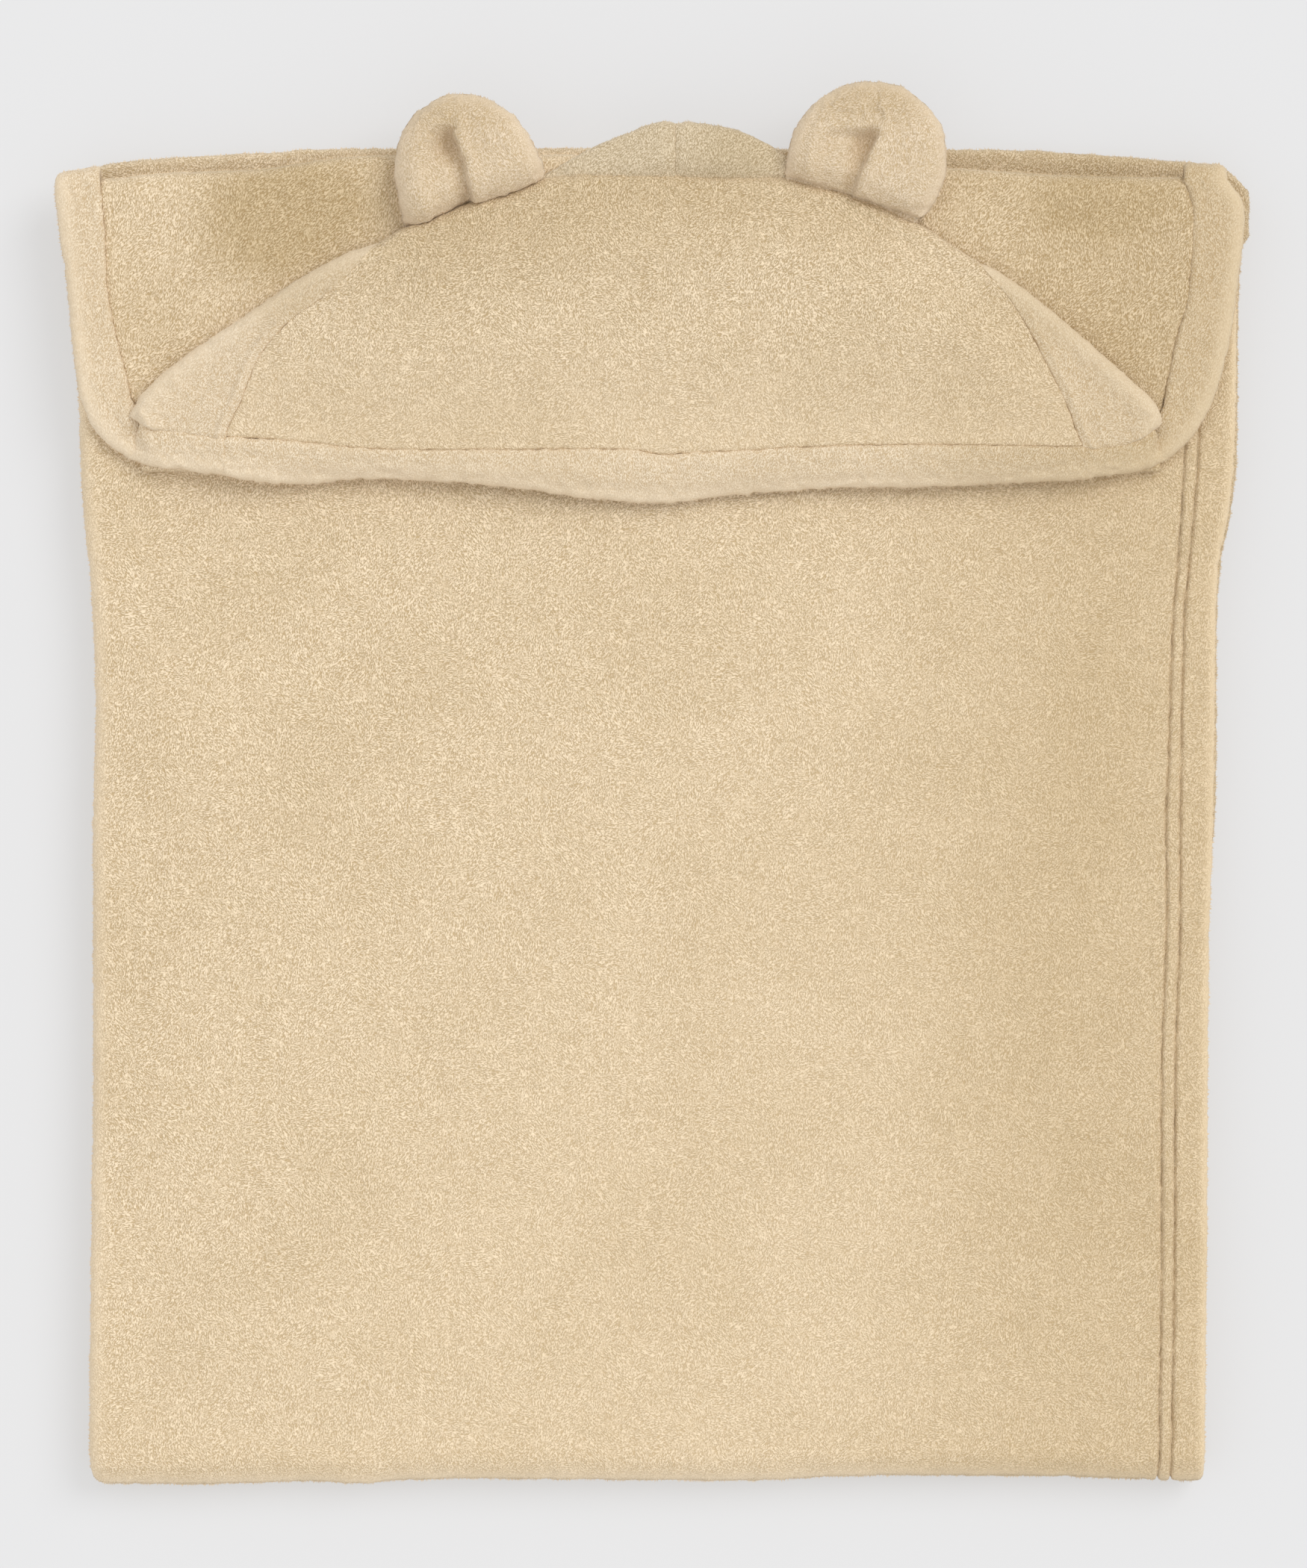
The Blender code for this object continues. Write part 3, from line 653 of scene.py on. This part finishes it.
def leaf_sheet(level, step, right, top_y, wrap=0, rolled=False, rows=False):
    """Middle surface of one ply of a leaf, from the bottom fold up the towel.

    wrap is the rise to the ply that it turns over to at the left fold, or 0; rolled adds its turn
    round the bottom fold; rows crowds its columns along the stitched rows.
    """
    height = level - BOTTOM_AXIS[2] if rolled else 0
    arc = math.pi * height
    along = graded(top_y - BOTTOM_AXIS[1] + arc, step, 2.2, 2.2)
    turn_r = abs(wrap) / 2
    arc_u = math.pi * turn_r
    width = right[0][0] - FRONT_LEFT[0][0] - FOLD_R
    whole = width + arc_u
    across = graded(whole, step, 2.2, 2.2, (whole - 19.5, whole - 8.5, 0.4) if rows else None)
    centre = np.zeros((len(across), len(along), 3))
    y_flat = np.maximum(along - arc, 0) + BOTTOM_AXIS[1]
    x_left = x_on(FRONT_LEFT, y_flat) + FOLD_R
    x_right = x_on(right, y_flat)
    share = np.clip((across - arc_u) / width, 0, 1)
    x = x_left[None] + share[:, None] * (x_right - x_left)[None]
    lift = np.zeros(len(across))
    if wrap:
        angle = math.pi * np.clip(1 - across / arc_u, 0, 1)
        x = x - (turn_r * np.sin(angle))[:, None]
        lift = wrap * (1 - np.cos(angle)) / 2
    shift = (y_on(BOTTOM_EDGE, x) - y_on(BOTTOM_EDGE, 0)) * np.exp(-(y_flat - BOTTOM_AXIS[1]) / 40.0)
    psi = math.pi * np.clip(1 - along / arc, 0, 1) if arc else np.zeros(len(along))
    radius = (height + lift)[:, None]
    centre[..., 0] = x
    centre[..., 1] = np.where(psi > 0, BOTTOM_AXIS[1] - radius * np.sin(psi)[None], y_flat[None]) + shift
    centre[..., 2] = np.where(psi > 0, BOTTOM_AXIS[2] + radius * np.cos(psi)[None], level + lift[:, None])
    return centre


def twin_rows(points):
    """Two stitched grooves with a ridge between, and the turned hem's extra body outside them."""
    inner, outer = (points[..., 0] - x_on(line, points[..., 1]) for line in HEM_ROWS.values())
    pucker = 1 + 0.45 * lattice_noise(points, 2.3, 71)
    grooves = bell(inner, 0.42) + bell(outer, 0.42)
    between = np.clip(ease(inner / 1.4) * ease(-outer / 1.4), 0, 1)
    return -1.3 * grooves * pucker + 0.35 * between + 0.35 * ease(outer / 2.0)


def front_waves(points):
    """Long soft waves beside the left fold and across the middle of the front."""
    x, y = points[..., 0], points[..., 1]
    side = bell(x + 163, 26) * np.sin(y / 27 + 0.8 * np.sin(y / 61))
    return 1.1 * side + 0.5 * np.sin(x / 46 + y / 95) * bell(y - 40, 120)


def turned_edge_highlight(points):
    """1 along the visible edges of the front, where its pile turns over and a painted highlight lies."""
    x, y = points[..., 0], points[..., 1]
    sides = close_to(np.minimum(x - x.min(axis=0), x.max(axis=0) - x), 4.0)
    foot = close_to(y - y.min(axis=1, keepdims=True), 4.0)
    return np.maximum(sides, foot) * (points[..., 2] > Z_FRONT_OUTER - PLY)


def shape_front_top(middle):
    """Bend the leaf's far end to the line along which the yoke turns over."""
    shift = y_on(YOKE_TOP, middle[..., 0]) - HALF - YOKE_ROLL - TOP_AXIS[1]
    middle[..., 1] += ease((middle[..., 1] - 130) / 70) * shift


def build_front():
    """The two plies of the front leaf, which turn up from the bottom fold."""
    top_y = TOP_AXIS[1] + 0.6
    middle = leaf_sheet(Z_FRONT_OUTER, FINE, FRONT_RIGHT, top_y, -(PLY + 0.3), rolled=True, rows=True)
    relief = twin_rows(middle)
    shape_front_top(middle)
    clear = ease((middle[..., 1] - BOTTOM_AXIS[1]) / 26) * ease((120 - middle[..., 1]) / 30)
    settle = ease((middle[..., 0] - middle[..., 0].min()) / 24) * clear
    middle[..., 2] += (drape(middle, 5, 0.9) + front_waves(middle)) * settle
    to_lower_right = ease((middle[..., 0] - 0.8 * middle[..., 1] + 150) / 330)
    # rim paints a highlight along the front's visible edges, where its pile turns over.
    outer = thick_sheet(
        "front_outer_fleece", middle, HALF, HALF, (1.2, 2.4, 1.0, 1.0), relief=relief,
        bases=(0, 0, 0, 0.8), rim=0.8 * turned_edge_highlight(middle), calm=0.25 * to_lower_right,
        hairy=("last_u", "left_fold", "bottom_fold"))
    finish_piece(outer, "body", "fleece", "front_outer_ply", "front_outer_side_hem", "front_left_fold",
                 "bottom_fold_outer")
    blend_bottom(outer)
    middle = leaf_sheet(Z_FRONT_INNER, MEDIUM, FRONT_RIGHT, top_y, rolled=True)
    shape_front_top(middle)
    inner = thick_sheet("front_inner_fleece", middle, HALF, HALF, (1.2, 2.2, 1.0, 1.6), seed=21, facing=-1)
    finish_piece(inner, "body", "fleece", "front_inner_ply", "front_inner_side_hem", "bottom_fold_inner")
    blend_bottom(inner)


def blend_bottom(piece):
    """Bake the piece's placement into its mesh."""
    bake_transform(piece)


def build_back():
    """The two plies of the back leaf, which lies on the table."""
    middle = leaf_sheet(Z_BACK_OUTER, COARSE, BACK_RIGHT, BACK_END, PLY + 0.3)
    shape_back_top(middle)
    outer = thick_sheet(
        "back_outer_fleece", middle, HALF - 0.15, HALF - 0.15, (1.2, 2.2, 1.0, 2.2), seed=31, depth=0.5,
        facing=-1)
    finish_piece(outer, "body", "fleece", "back_outer_ply", "back_outer_side_hem", "back_left_fold",
                 "lower_hem_outer")
    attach(outer, "root")
    middle = leaf_sheet(Z_BACK_INNER, MEDIUM, BACK_RIGHT, BACK_END)
    shape_back_top(middle)
    # A faint painted highlight along the leaf's far end, where its pile turns over.
    rim = 0.1 * close_to(middle[:, -1:, 1] - middle[..., 1] - 0.5, 5.0)
    inner = thick_sheet(
        "back_inner_fleece", middle, HALF, HALF, (1.2, 2.4, 1.0, 2.6), seed=41, rim=rim,
        hairy=("last_u", "last_v"))
    finish_piece(inner, "back", "fleece", "back_inner_ply", "back_inner_side_hem", "lower_hem_inner")
    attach(inner, "root")


def shape_back_top(middle):
    """Bend the leaf's far end to its own outline, with the pointed hem corner on the right."""
    near_end = ease((middle[..., 1] - 120) / 96)
    middle[..., 1] += near_end * (y_on(BACK_TOP, middle[..., 0]) - BACK_END)


# ---- yoke and side bands

def build_yoke():
    """The section that turns forward over the top fold and shows its inner face."""
    arc = math.pi * YOKE_ROLL
    along = graded(YOKE_REACH + arc, FINE, 1.5, 2.0)
    across = shares(YOKE_WIDTH, FINE, 2.0, 2.0)
    psi = math.pi * np.clip(1 - along / arc, 0, 1)
    down = np.maximum(along - arc, 0)
    y_row = TOP_AXIS[1] - down
    x_left = x_on(BAND_INSIDE["left"][:7], y_row) - 0.6
    x_right = x_on(BAND_INSIDE["right"][:7], y_row) + 0.6
    x = x_left[None] + across[:, None] * (x_right - x_left)[None]
    rim = y_on(YOKE_TOP, x) - YOKE_ROLL - HALF
    fall = ease(1 - down / 60.0)[None]
    middle = np.zeros((len(across), len(along), 3))
    middle[..., 0] = x
    middle[..., 1] = y_row[None] + fall * (rim - TOP_AXIS[1]) + (YOKE_ROLL * np.sin(psi))[None]
    middle[..., 2] = np.where(psi > 0, TOP_AXIS[2] + YOKE_ROLL * np.cos(psi), Z_YOKE)[None]
    middle[..., 2] += yoke_waves(middle) * (psi == 0)[None]
    piece = thick_sheet(
        "yoke_fleece", middle, HALF, HALF, (1.6, 1.6, 1.0, 1.4), seed=51, depth=1.1,
        bases=(0.62, 0.62, 0.8, 0), hairy=("top_fold",))
    finish_piece(piece, "inner", "fleece", "yoke_panel", "top_fold")
    blend_top(piece)


def yoke_waves(points):
    """Shallow furrows that run down from the top fold towards the hood."""
    x, y = points[..., 0], points[..., 1]
    fade_out = ease((204 - y) / 16)
    furrows = 0.8 * np.sin(x / 13.0 + y / 31.0) + 0.6 * np.sin(x / 24.0 - 1.0)
    return fade_out * (0.7 * furrows + drape(points, 57, 0.5))


def corner_share(inner, corner):
    """Share of a band's length at which it reaches the hood's corner."""
    v = np.linspace(0, 1, 400)
    return float(v[np.argmin(np.linalg.norm(curve_at(inner, v) - np.array(corner), axis=1))])


def roll_over_top(middle):
    """Add rows that carry a sheet over the top fold to its underside."""
    psi = np.linspace(math.pi, 0, 9)[:-1]
    turned = YOKE_ROLL * np.stack([0 * psi, np.sin(psi), np.cos(psi) - 1], axis=-1)
    return np.concatenate([middle[:, :1] + turned[None], middle], axis=1)


def build_side_band(side):
    """The turned hem beside the yoke, from the top fold down to the hood's corner."""
    inner, outer, corner = BAND_INSIDE[side], BAND_OUTSIDE[side], FOLD[side][0]
    stop = corner_share(inner, corner) + 0.06
    u = shares(BAND_WIDTH, 0.9, 2.4, 3.8)
    v = shares(curve_length(outer) * stop, 1.25, 2.0, 1.4) * stop
    plan = strip(inner, outer, u, v)
    under = ease((v - stop + 0.09) / 0.05)
    middle = raise_plan(plan, Z_YOKE + 0.25 - 0.8 * under)
    bulb_at = np.array(corner) + ((-3.6, 5.4) if side == "left" else (3.2, 6.0))
    bulb = 1.5 * bell(np.linalg.norm(plan - bulb_at, axis=-1), 3.0)
    middle[..., 2] += drape(middle, 63, 0.3) * ease((200 - plan[..., 1]) / 20) + bulb
    middle = roll_over_top(middle)
    # A painted highlight along the band's outer edge, where its pile turns over.
    rim = 0.9 * beside(middle[..., :2], dense(outer, 50), 1, 7)
    piece = thick_sheet(
        f"side_band_{side}", middle, HALF + 0.7, HALF, (1.8, 4.2, 1.0, 1.4), seed=61, depth=0.9,
        bases=(0.55, 0, 0, 0), rim=rim, hairy=("last_u", "top_fold"))
    finish_piece(piece, "hem", "fleece_hem", f"yoke_side_hem_{side}")
    blend_top(piece)


def hem_level(height, away, x):
    """Middle of the mouth's hem; away is 0 at its stitched line and 1 at its wavy free edge."""
    waves = 0.9 * np.sin(x / 19.0 + 0.6) + 0.7 * np.sin(x / 33.0)
    return height - ease(away) * (3.0 + 0.8 * waves)


def build_cheek_hem(side):
    """The mouth's hem from the corner, where it lies on the band, to the seam."""
    inner, outer, corner = BAND_INSIDE[side], BAND_OUTSIDE[side], FOLD[side][0]
    start = corner_share(inner, corner) - 0.01
    u = shares(MOUTH_HEM_WIDTH, 0.9, 1.4, 3.4)
    v = start + shares(curve_length(outer) * (1 - start), 0.9, 1.6, 1.2) * (1 - start)
    plan = strip(inner, outer, u, v)
    edge = hood_height(curve_at(inner, v))
    level = hem_level(edge[None], u[:, None], plan[..., 0])
    away = np.linalg.norm(plan - plan[:, :1], axis=-1)
    merge = (1 - ease(away / (3.0 + 9.0 * u[:, None]))) * ease((u[:, None] - 0.1) / 0.6)
    middle = raise_plan(plan, level + merge * (Z_YOKE + 0.9 - level))
    # A painted highlight along the hem's outer edge, where its pile turns over.
    rim = 0.8 * beside(plan, dense(outer, 50), 1, 9)
    piece = thick_sheet(
        f"cheek_hem_{side}", middle, HALF + 0.3, HALF, (1.2, 3.4, 8.0, 1.0), seed=65, depth=0.9,
        bases=(0.25, 0, 0, 0.85), rough=0.4, rim=rim, hairy=("last_u",))
    finish_piece(piece, "hem", "fleece_hem", f"cheek_{side}_hem")
    blend_cheek(piece)


def blend_top(piece):
    """Bake the piece's placement into its mesh."""
    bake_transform(piece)


def blend_cheek(piece):
    """Bake the piece's placement into its mesh."""
    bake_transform(piece)


# ---- hood

CROWN_WIDTH, CROWN_DEPTH = 290.0, 88.0  # measured along the cloth, like the four below
CHEEK_WIDTH, CHEEK_DEPTH = 75.0, 55.0
DOME_WIDTH, DOME_DEPTH = 65.0, 100.0
FOLD_LINE = np.vstack([dense(FOLD["left"], 20), dense(CROWN_EDGE, 40), dense(FOLD["right"][::-1], 20)])


def hood_height(plan):
    """Middle of the hood's front: low along its folds and its mouth, gently puffed between."""
    from_fold = distance_to(plan, FOLD_LINE)
    from_mouth = plan[..., 1] - y_on(STITCH_LINE, np.clip(plan[..., 0], -145, 145))
    side = ease((np.abs(plan[..., 0]) - 120) / 50)
    puff = ease((from_fold + 2) / 34) ** 0.8 * (0.42 + 0.58 * ease(from_mouth / 42))
    return HOOD_REST + (HOOD_PUFF - 0.8) * puff * (1 - 0.35 * side) + drape(raise_plan(plan, 0), 83, 0.45)


def hood_plumpness(plan):
    """Extra fullness where the double fabric turns over at the hood's folds."""
    return HALF + 1.5 * bell(distance_to(plan, FOLD_LINE) - 4.5, 4.0)


def seam_base(seam, v):
    """Share of the thickness left at a cheek's seam, which fades out near the ear."""
    return 0.15 + 0.83 * ease((curve_at(seam, v)[:, 1] - 148) / 22)


def build_crown():
    """The wide middle of the hood's front, between its two seams."""
    u = shares(CROWN_WIDTH, HOOD_STEP, 1.2, 1.2)
    v = shares(CROWN_DEPTH, HOOD_STEP, 1.2, 6.0)
    left_base, right_base = seam_base(SEAM["left"], v), seam_base(SEAM["right"], v)
    plan = patch(STITCH_LINE, CROWN_EDGE, SEAM["left"], SEAM["right"], u, v)
    middle = raise_plan(plan, hood_height(plan))
    piece = thick_sheet(
        "hood_crown", middle, hood_plumpness(plan), HALF, (1.0, 1.0, 1.2, 6.0), seed=81,
        bases=(left_base, right_base, 0.4, 0), calm=0.3 * close_to(plan[..., 1] - 118, 50),
        hairy=("last_v",))
    finish_piece(piece, "hood", "fleece", "hood_front_panel")
    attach(piece, "hood_front")


def build_hem():
    """The turned hem along the crown's part of the mouth."""
    u = shares(CROWN_WIDTH + 2, HOOD_STEP, 1.2, 1.2)
    v = shares(MOUTH_HEM_WIDTH - 1.5, 0.9, 3.0, 1.2)
    top = [(x, y + 0.4) for x, y in STITCH_LINE]
    plan = patch(HEM_EDGE, top, [HEM_EDGE[0], top[0]], [HEM_EDGE[-1], top[-1]], u, v)
    edge = hood_height(curve_at(STITCH_LINE, u))
    middle = raise_plan(plan, hem_level(edge[:, None], 1 - v[None], plan[..., 0]))
    over_yoke_edge = ease((0.55 - v[None]) / 0.5) * ease((140 - np.abs(plan[..., 0])) / 30)
    middle[..., 2] -= HEM_DROOP * over_yoke_edge
    # A painted highlight along the mouth's free edge, where its pile turns over.
    rim = 0.8 * beside(plan, dense(HEM_EDGE, 60), 0.5, 9)
    piece = thick_sheet(
        "hood_hem", middle, HALF + 0.3, HALF, (1.0, 1.0, 3.0, 1.2), seed=91, depth=0.9,
        bases=(0.88, 0.88, 0, 0.4), rough=0.42, rim=rim, hairy=("first_v",))
    finish_piece(piece, "hem", "fleece_hem", "hood_front_hem")
    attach(piece, "hood_front")


def build_cheek(side):
    """A cheek lies between its fold, which stays down, and its seam, which lifts with the crown."""
    inner, fold, seam = BAND_INSIDE[side], FOLD[side], SEAM[side]
    tuck = 0.5 if side == "left" else -0.5
    tucked = [(x + tuck, y) for x, y in seam]
    u = shares(CHEEK_WIDTH, HOOD_STEP, 1.2, 1.2)
    v = shares(CHEEK_DEPTH, HOOD_STEP, 1.2, 6.0)
    foot = curve_at(inner, np.linspace(corner_share(inner, fold[0]), 1, 7)) - (0, 1.2)
    plan = patch(foot, fold[1:], [foot[0], fold[1]], [foot[-1], *tucked[1:]], u, v)
    middle = raise_plan(plan, hood_height(plan))
    base = seam_base(seam, v)
    ridge = 0.9 * bell(distance_to(plan, dense(seam, 30)) - 2.2, 1.2) * (1 - base)
    # A painted highlight along the cheek's fold, where its pile turns over.
    rim = 0.8 * beside(plan, FOLD_LINE, 1, 10)
    piece = thick_sheet(
        f"hood_cheek_{side}", middle, hood_plumpness(plan) + 0.1, HALF, (2.6, 1.0, 1.2, 6.0), seed=101,
        depth=0.7, relief=ridge, bases=(0, base, 0.3, 0), rim=rim, hairy=("last_v", "first_u"))
    finish_piece(piece, "cheek", "fleece", f"cheek_{side}_panel")
    blend_cheek(piece)


def build_dome(side):
    """Back of the hood: under its front, then out behind the crown as a soft dome."""
    sign = -1 if side == "left" else 1
    tip = dense(DOME_EDGE, 80)
    rim = tip[tip[:, 0] * sign > DOME_SEAM_X * sign][::-sign]
    start = DOME_EDGE[0 if sign < 0 else -1]
    outer_x = -128.0 if sign < 0 else 124.0
    seam_x = DOME_SEAM_X - 0.3 * sign
    out = [(outer_x, 120.0), (outer_x * 0.86, 148.0), (start[0] * 1.7, 176.0), start]
    seam = [(seam_x, 117.0), (seam_x, 170.0), (seam_x, 223.8)]
    top = [start, *rim[4::5], seam[-1]]
    u = shares(DOME_WIDTH, 1.5, 3.0, 1.4)
    v = shares(DOME_DEPTH, 1.3, 2.0, 4.0)
    plan = patch([out[0], seam[0]], top, out, seam, u, v)
    behind = ease((plan[..., 1] - 200) / 13)
    at_seam = 0.8 + 0.2 * ease(np.abs(plan[..., 0] - seam_x) / 4)
    puff = behind * ease((distance_to(plan, tip) + 1) / 15) * at_seam
    middle = raise_plan(plan, HOOD_REST - 0.9 + 4.4 * puff)
    up = 1.2 + behind * 1.6
    piece = thick_sheet(
        f"hood_back_{side}_fleece", middle, up, 1.2 + behind * 0.6, (2.0, 1.4, 1.6, 4.0), seed=111,
        depth=0.8, bases=(0, 0.45, 0, 0), hairy=("last_v",))
    finish_piece(piece, "dome", "fleece", f"hood_back_{side}")
    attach(piece, "hood_section")


# ---- ears

EAR_WIDTH, EAR_DEPTH = 50.0, 42.0  # along the cloth


def ear_hollow(plan, from_rim, spec):
    """How deep the ear sinks inside its rim, beside the pleat that laps its right lobe over its left."""
    pleat, (pocket_x, pocket_y) = spec["pleat"], spec["pocket"]
    x, y = plan[..., 0], plan[..., 1]
    aside = x_on(pleat, y) - x
    above = ease((y - pleat[-1][1] + 0.5) / 4.5)
    sunken = ease(aside / (1.0 + 6.0 * above) + 0.5) * (1 - above)
    basin = ease((from_rim - 7.5) / 6.5) * sunken
    by_pleat = bell(np.clip(aside, 0, None), 5.5)
    pocket = np.exp(-(((x - pocket_x) / 4.0) ** 2) - (((y - pocket_y) / 5.0) ** 2)) * sunken
    lip = 0.9 * bell(aside + 2.6, 2.0) * ease((from_rim - 6) / 4)
    return basin * (2.4 + 2.8 * by_pleat) + 3.0 * pocket - lip


def blend_ear(piece):
    """Bake the piece's placement into its mesh."""
    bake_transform(piece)


def build_ear(side):
    """An ear's two faces: a hollow front with its pleat, and a plain back."""
    spec = EARS[side]
    near, crest, far, sunk = (spec[key] for key in ("near", "crest", "far", "sunk"))
    u = shares(EAR_WIDTH, 0.6, 4.0, 4.0)
    v = shares(EAR_DEPTH, 0.6, 1.5, 4.0)
    base = [(x, y - EAR_TUCK) for x, y in spec["base"]]
    plan = patch(base, crest, [base[0], *near], [base[-1], *far], u, v)
    from_base = distance_to(plan, dense(base, 30))
    from_rim = distance_to(plan, np.vstack([dense(near, 30), dense(crest, 30), dense(far[::-1], 30)]))
    at_base = 0.2 + 0.8 * rounded(np.clip(from_base - 0.6 * sunk, 0, None), 9.0)
    profile = rounded(from_rim, 9.0) * at_base
    profile[[0, -1], :] = 0
    profile[:, -1] = 0
    low, high = box_mm(f"ear_{side}_back")[0][2], box_mm(f"ear_{side}_front")[1][2]
    mid = (low + high) / 2
    root = 1 - ease((from_base - 2) / 9.0)
    middle = raise_plan(plan, mid - sunk * root - 1.2 * ease((from_base - 12) / 30))
    up = (high - mid + 1.0) - ear_hollow(plan, from_rim, spec)
    # A painted highlight round the ear's rim, where its pile turns over.
    rim = 0.7 * close_to(from_rim - 0.5, 5.0)
    front = thick_sheet(
        f"ear_{side}_front_fleece", middle, up, 0.4, seed=121, depth=1.1, profile=profile, rough=0.4,
        rim=rim, hairy=("first_u", "last_v", "last_u"))
    finish_piece(front, "ear", "fleece_hem", f"ear_{side}_front")
    blend_ear(front)
    lower = middle.copy()
    lower[..., 2] -= 0.9
    back = thick_sheet(
        f"ear_{side}_back_fleece", lower, mid - low - 1.4, 0.2, seed=131, facing=-1, profile=profile,
        rough=0.4)
    finish_piece(back, "ear", "fleece", f"ear_{side}_back")
    blend_ear(back)


# ---- stitches

STITCH_PITCH = 3.0
THREAD = 0.55  # thickness of the thread


def stitches(name, path, heights, body, stands_for):
    """A row of separate stitches, each a short rounded bar lying in its groove."""
    count = int(curve_length(path) / STITCH_PITCH)
    at = (np.arange(count) + 0.5) / count
    centres = curve_at(path, at)
    ahead = curve_at(path, np.minimum(at + 0.002, 1)) - curve_at(path, at - 0.002)
    points, faces = [], []
    for centre, direction, z in zip(centres, ahead, heights(centres)):
        add_stitch(points, faces, centre, direction / np.linalg.norm(direction), z)
    piece = mesh_piece(name, np.array(points) * MM, faces)
    finish_piece(piece, "thread", "thread", stands_for)
    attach(piece, body)


def add_stitch(points, faces, centre, direction, z):
    """One stitch: four rings of six points, closed by a point at each end."""
    reach = STITCH_PITCH * 0.36
    side = np.array([-direction[1], direction[0]])
    first = len(points)
    for along, size in ((-0.8, 0.7), (-0.3, 1.0), (0.3, 1.0), (0.8, 0.7)):
        for k in range(6):
            angle = math.pi * k / 3
            flat = centre + direction * along * reach + side * math.cos(angle) * THREAD / 2 * size
            points.append((*flat, z + math.sin(angle) * THREAD / 2 * size))
    tail, head = len(points), len(points) + 1
    for along in (-1.0, 1.0):
        points.append((*(centre + direction * along * reach), z))
    for ring in range(3):
        for k in range(6):
            a, b = first + ring * 6 + k, first + ring * 6 + (k + 1) % 6
            faces.append((a, a + 6, b + 6, b))
    for k in range(6):
        faces.append((tail, first + k, first + (k + 1) % 6))
        faces.append((head, first + 18 + (k + 1) % 6, first + 18 + k))


def build_stitches():
    front_top = Z_FRONT_OUTER + HALF - 1.5
    for row, line in HEM_ROWS.items():
        path = [(x_on(line, -225.0), -225.0), *line[1:]]
        stitches(f"front_hem_thread_{row}", path, lambda at: np.full(len(at), front_top), "front_leaf",
                 f"front_hem_stitch_{row}_row")
    for side, shift in (("left", 0.4), ("right", -0.4)):
        path = [(x + shift, y) for x, y in BAND_INSIDE[side][1:6]]
        stitches(f"yoke_thread_{side}", path, lambda at: np.full(len(at), Z_YOKE + 0.9), "hood_section",
                 f"yoke_hem_stitch_{side}")
    stitches("hood_hem_thread", STITCH_LINE[1:-1], lambda at: hood_height(at) + 0.9, "hood_front",
             "hood_hem_stitch")
    seam = [(DOME_SEAM_X, 208.0), (DOME_SEAM_X, 222.0)]
    stitches("hood_back_thread", seam, lambda at: HOOD_REST + 3.2 * ease((224.6 - at[:, 1]) / 14),
             "hood_section", "hood_back_seam_thread")


# ---- stage

def build_stage():
    """A plain pale floor, a little emissive so that it stays light beside the towel."""
    bpy.ops.mesh.primitive_plane_add(size=12.0, location=(0, 0, -0.0004))
    floor = bpy.context.object
    floor.name = "floor"
    material, _, shader = new_material("pale_floor")
    feed(shader, {"Base Color": (0.33, 0.33, 0.335), "Emission Color": (1.0, 1.0, 1.0),
                  "Emission Strength": 0.46, "Roughness": 1.0, "Specular IOR Level": 0.0})
    floor.data.materials.append(material)


# Name, breadth in degrees, strength, and turn about each axis in degrees.
SUNS = (("key", 34, 1.15, (42, 0, 128)), ("fill", 90, 0.2, (35, 0, -50)))


def build_lights():
    world = bpy.context.scene.world or bpy.data.worlds.new("studio")
    bpy.context.scene.world = world
    world.use_nodes = True
    feed(world.node_tree.nodes["Background"], {"Color": (1.0, 1.0, 1.0), "Strength": 0.78})
    for name, angle, strength, turn in SUNS:
        lamp = bpy.data.lights.new(name, "SUN")
        lamp.energy = strength
        lamp.angle = math.radians(angle)
        add_object(name, lamp).rotation_euler = [math.radians(value) for value in turn]


def build_camera():
    """Straight above the towel, far enough off for a flat product view."""
    view_height = 0.533  # of the table, seen from top to bottom
    data = bpy.data.cameras.new("camera")
    data.lens = 180.0
    data.sensor_width = 36.0
    level = (Z_FRONT_OUTER + HALF) * MM
    camera = add_object("camera", data)
    camera.location = (0.0, 0.0, level + view_height * data.lens / data.sensor_width)
    bpy.context.scene.camera = camera


def build_pairs(*builders):
    for build in builders:
        for side in ("left", "right"):
            build(side)


build_front()
build_back()
build_yoke()
build_pairs(build_side_band, build_cheek_hem, build_dome)
build_crown()
build_hem()
build_pairs(build_cheek, build_ear)
build_stitches()
build_stage()
build_lights()
build_camera()
bpy.context.scene.view_settings.view_transform = "Standard"
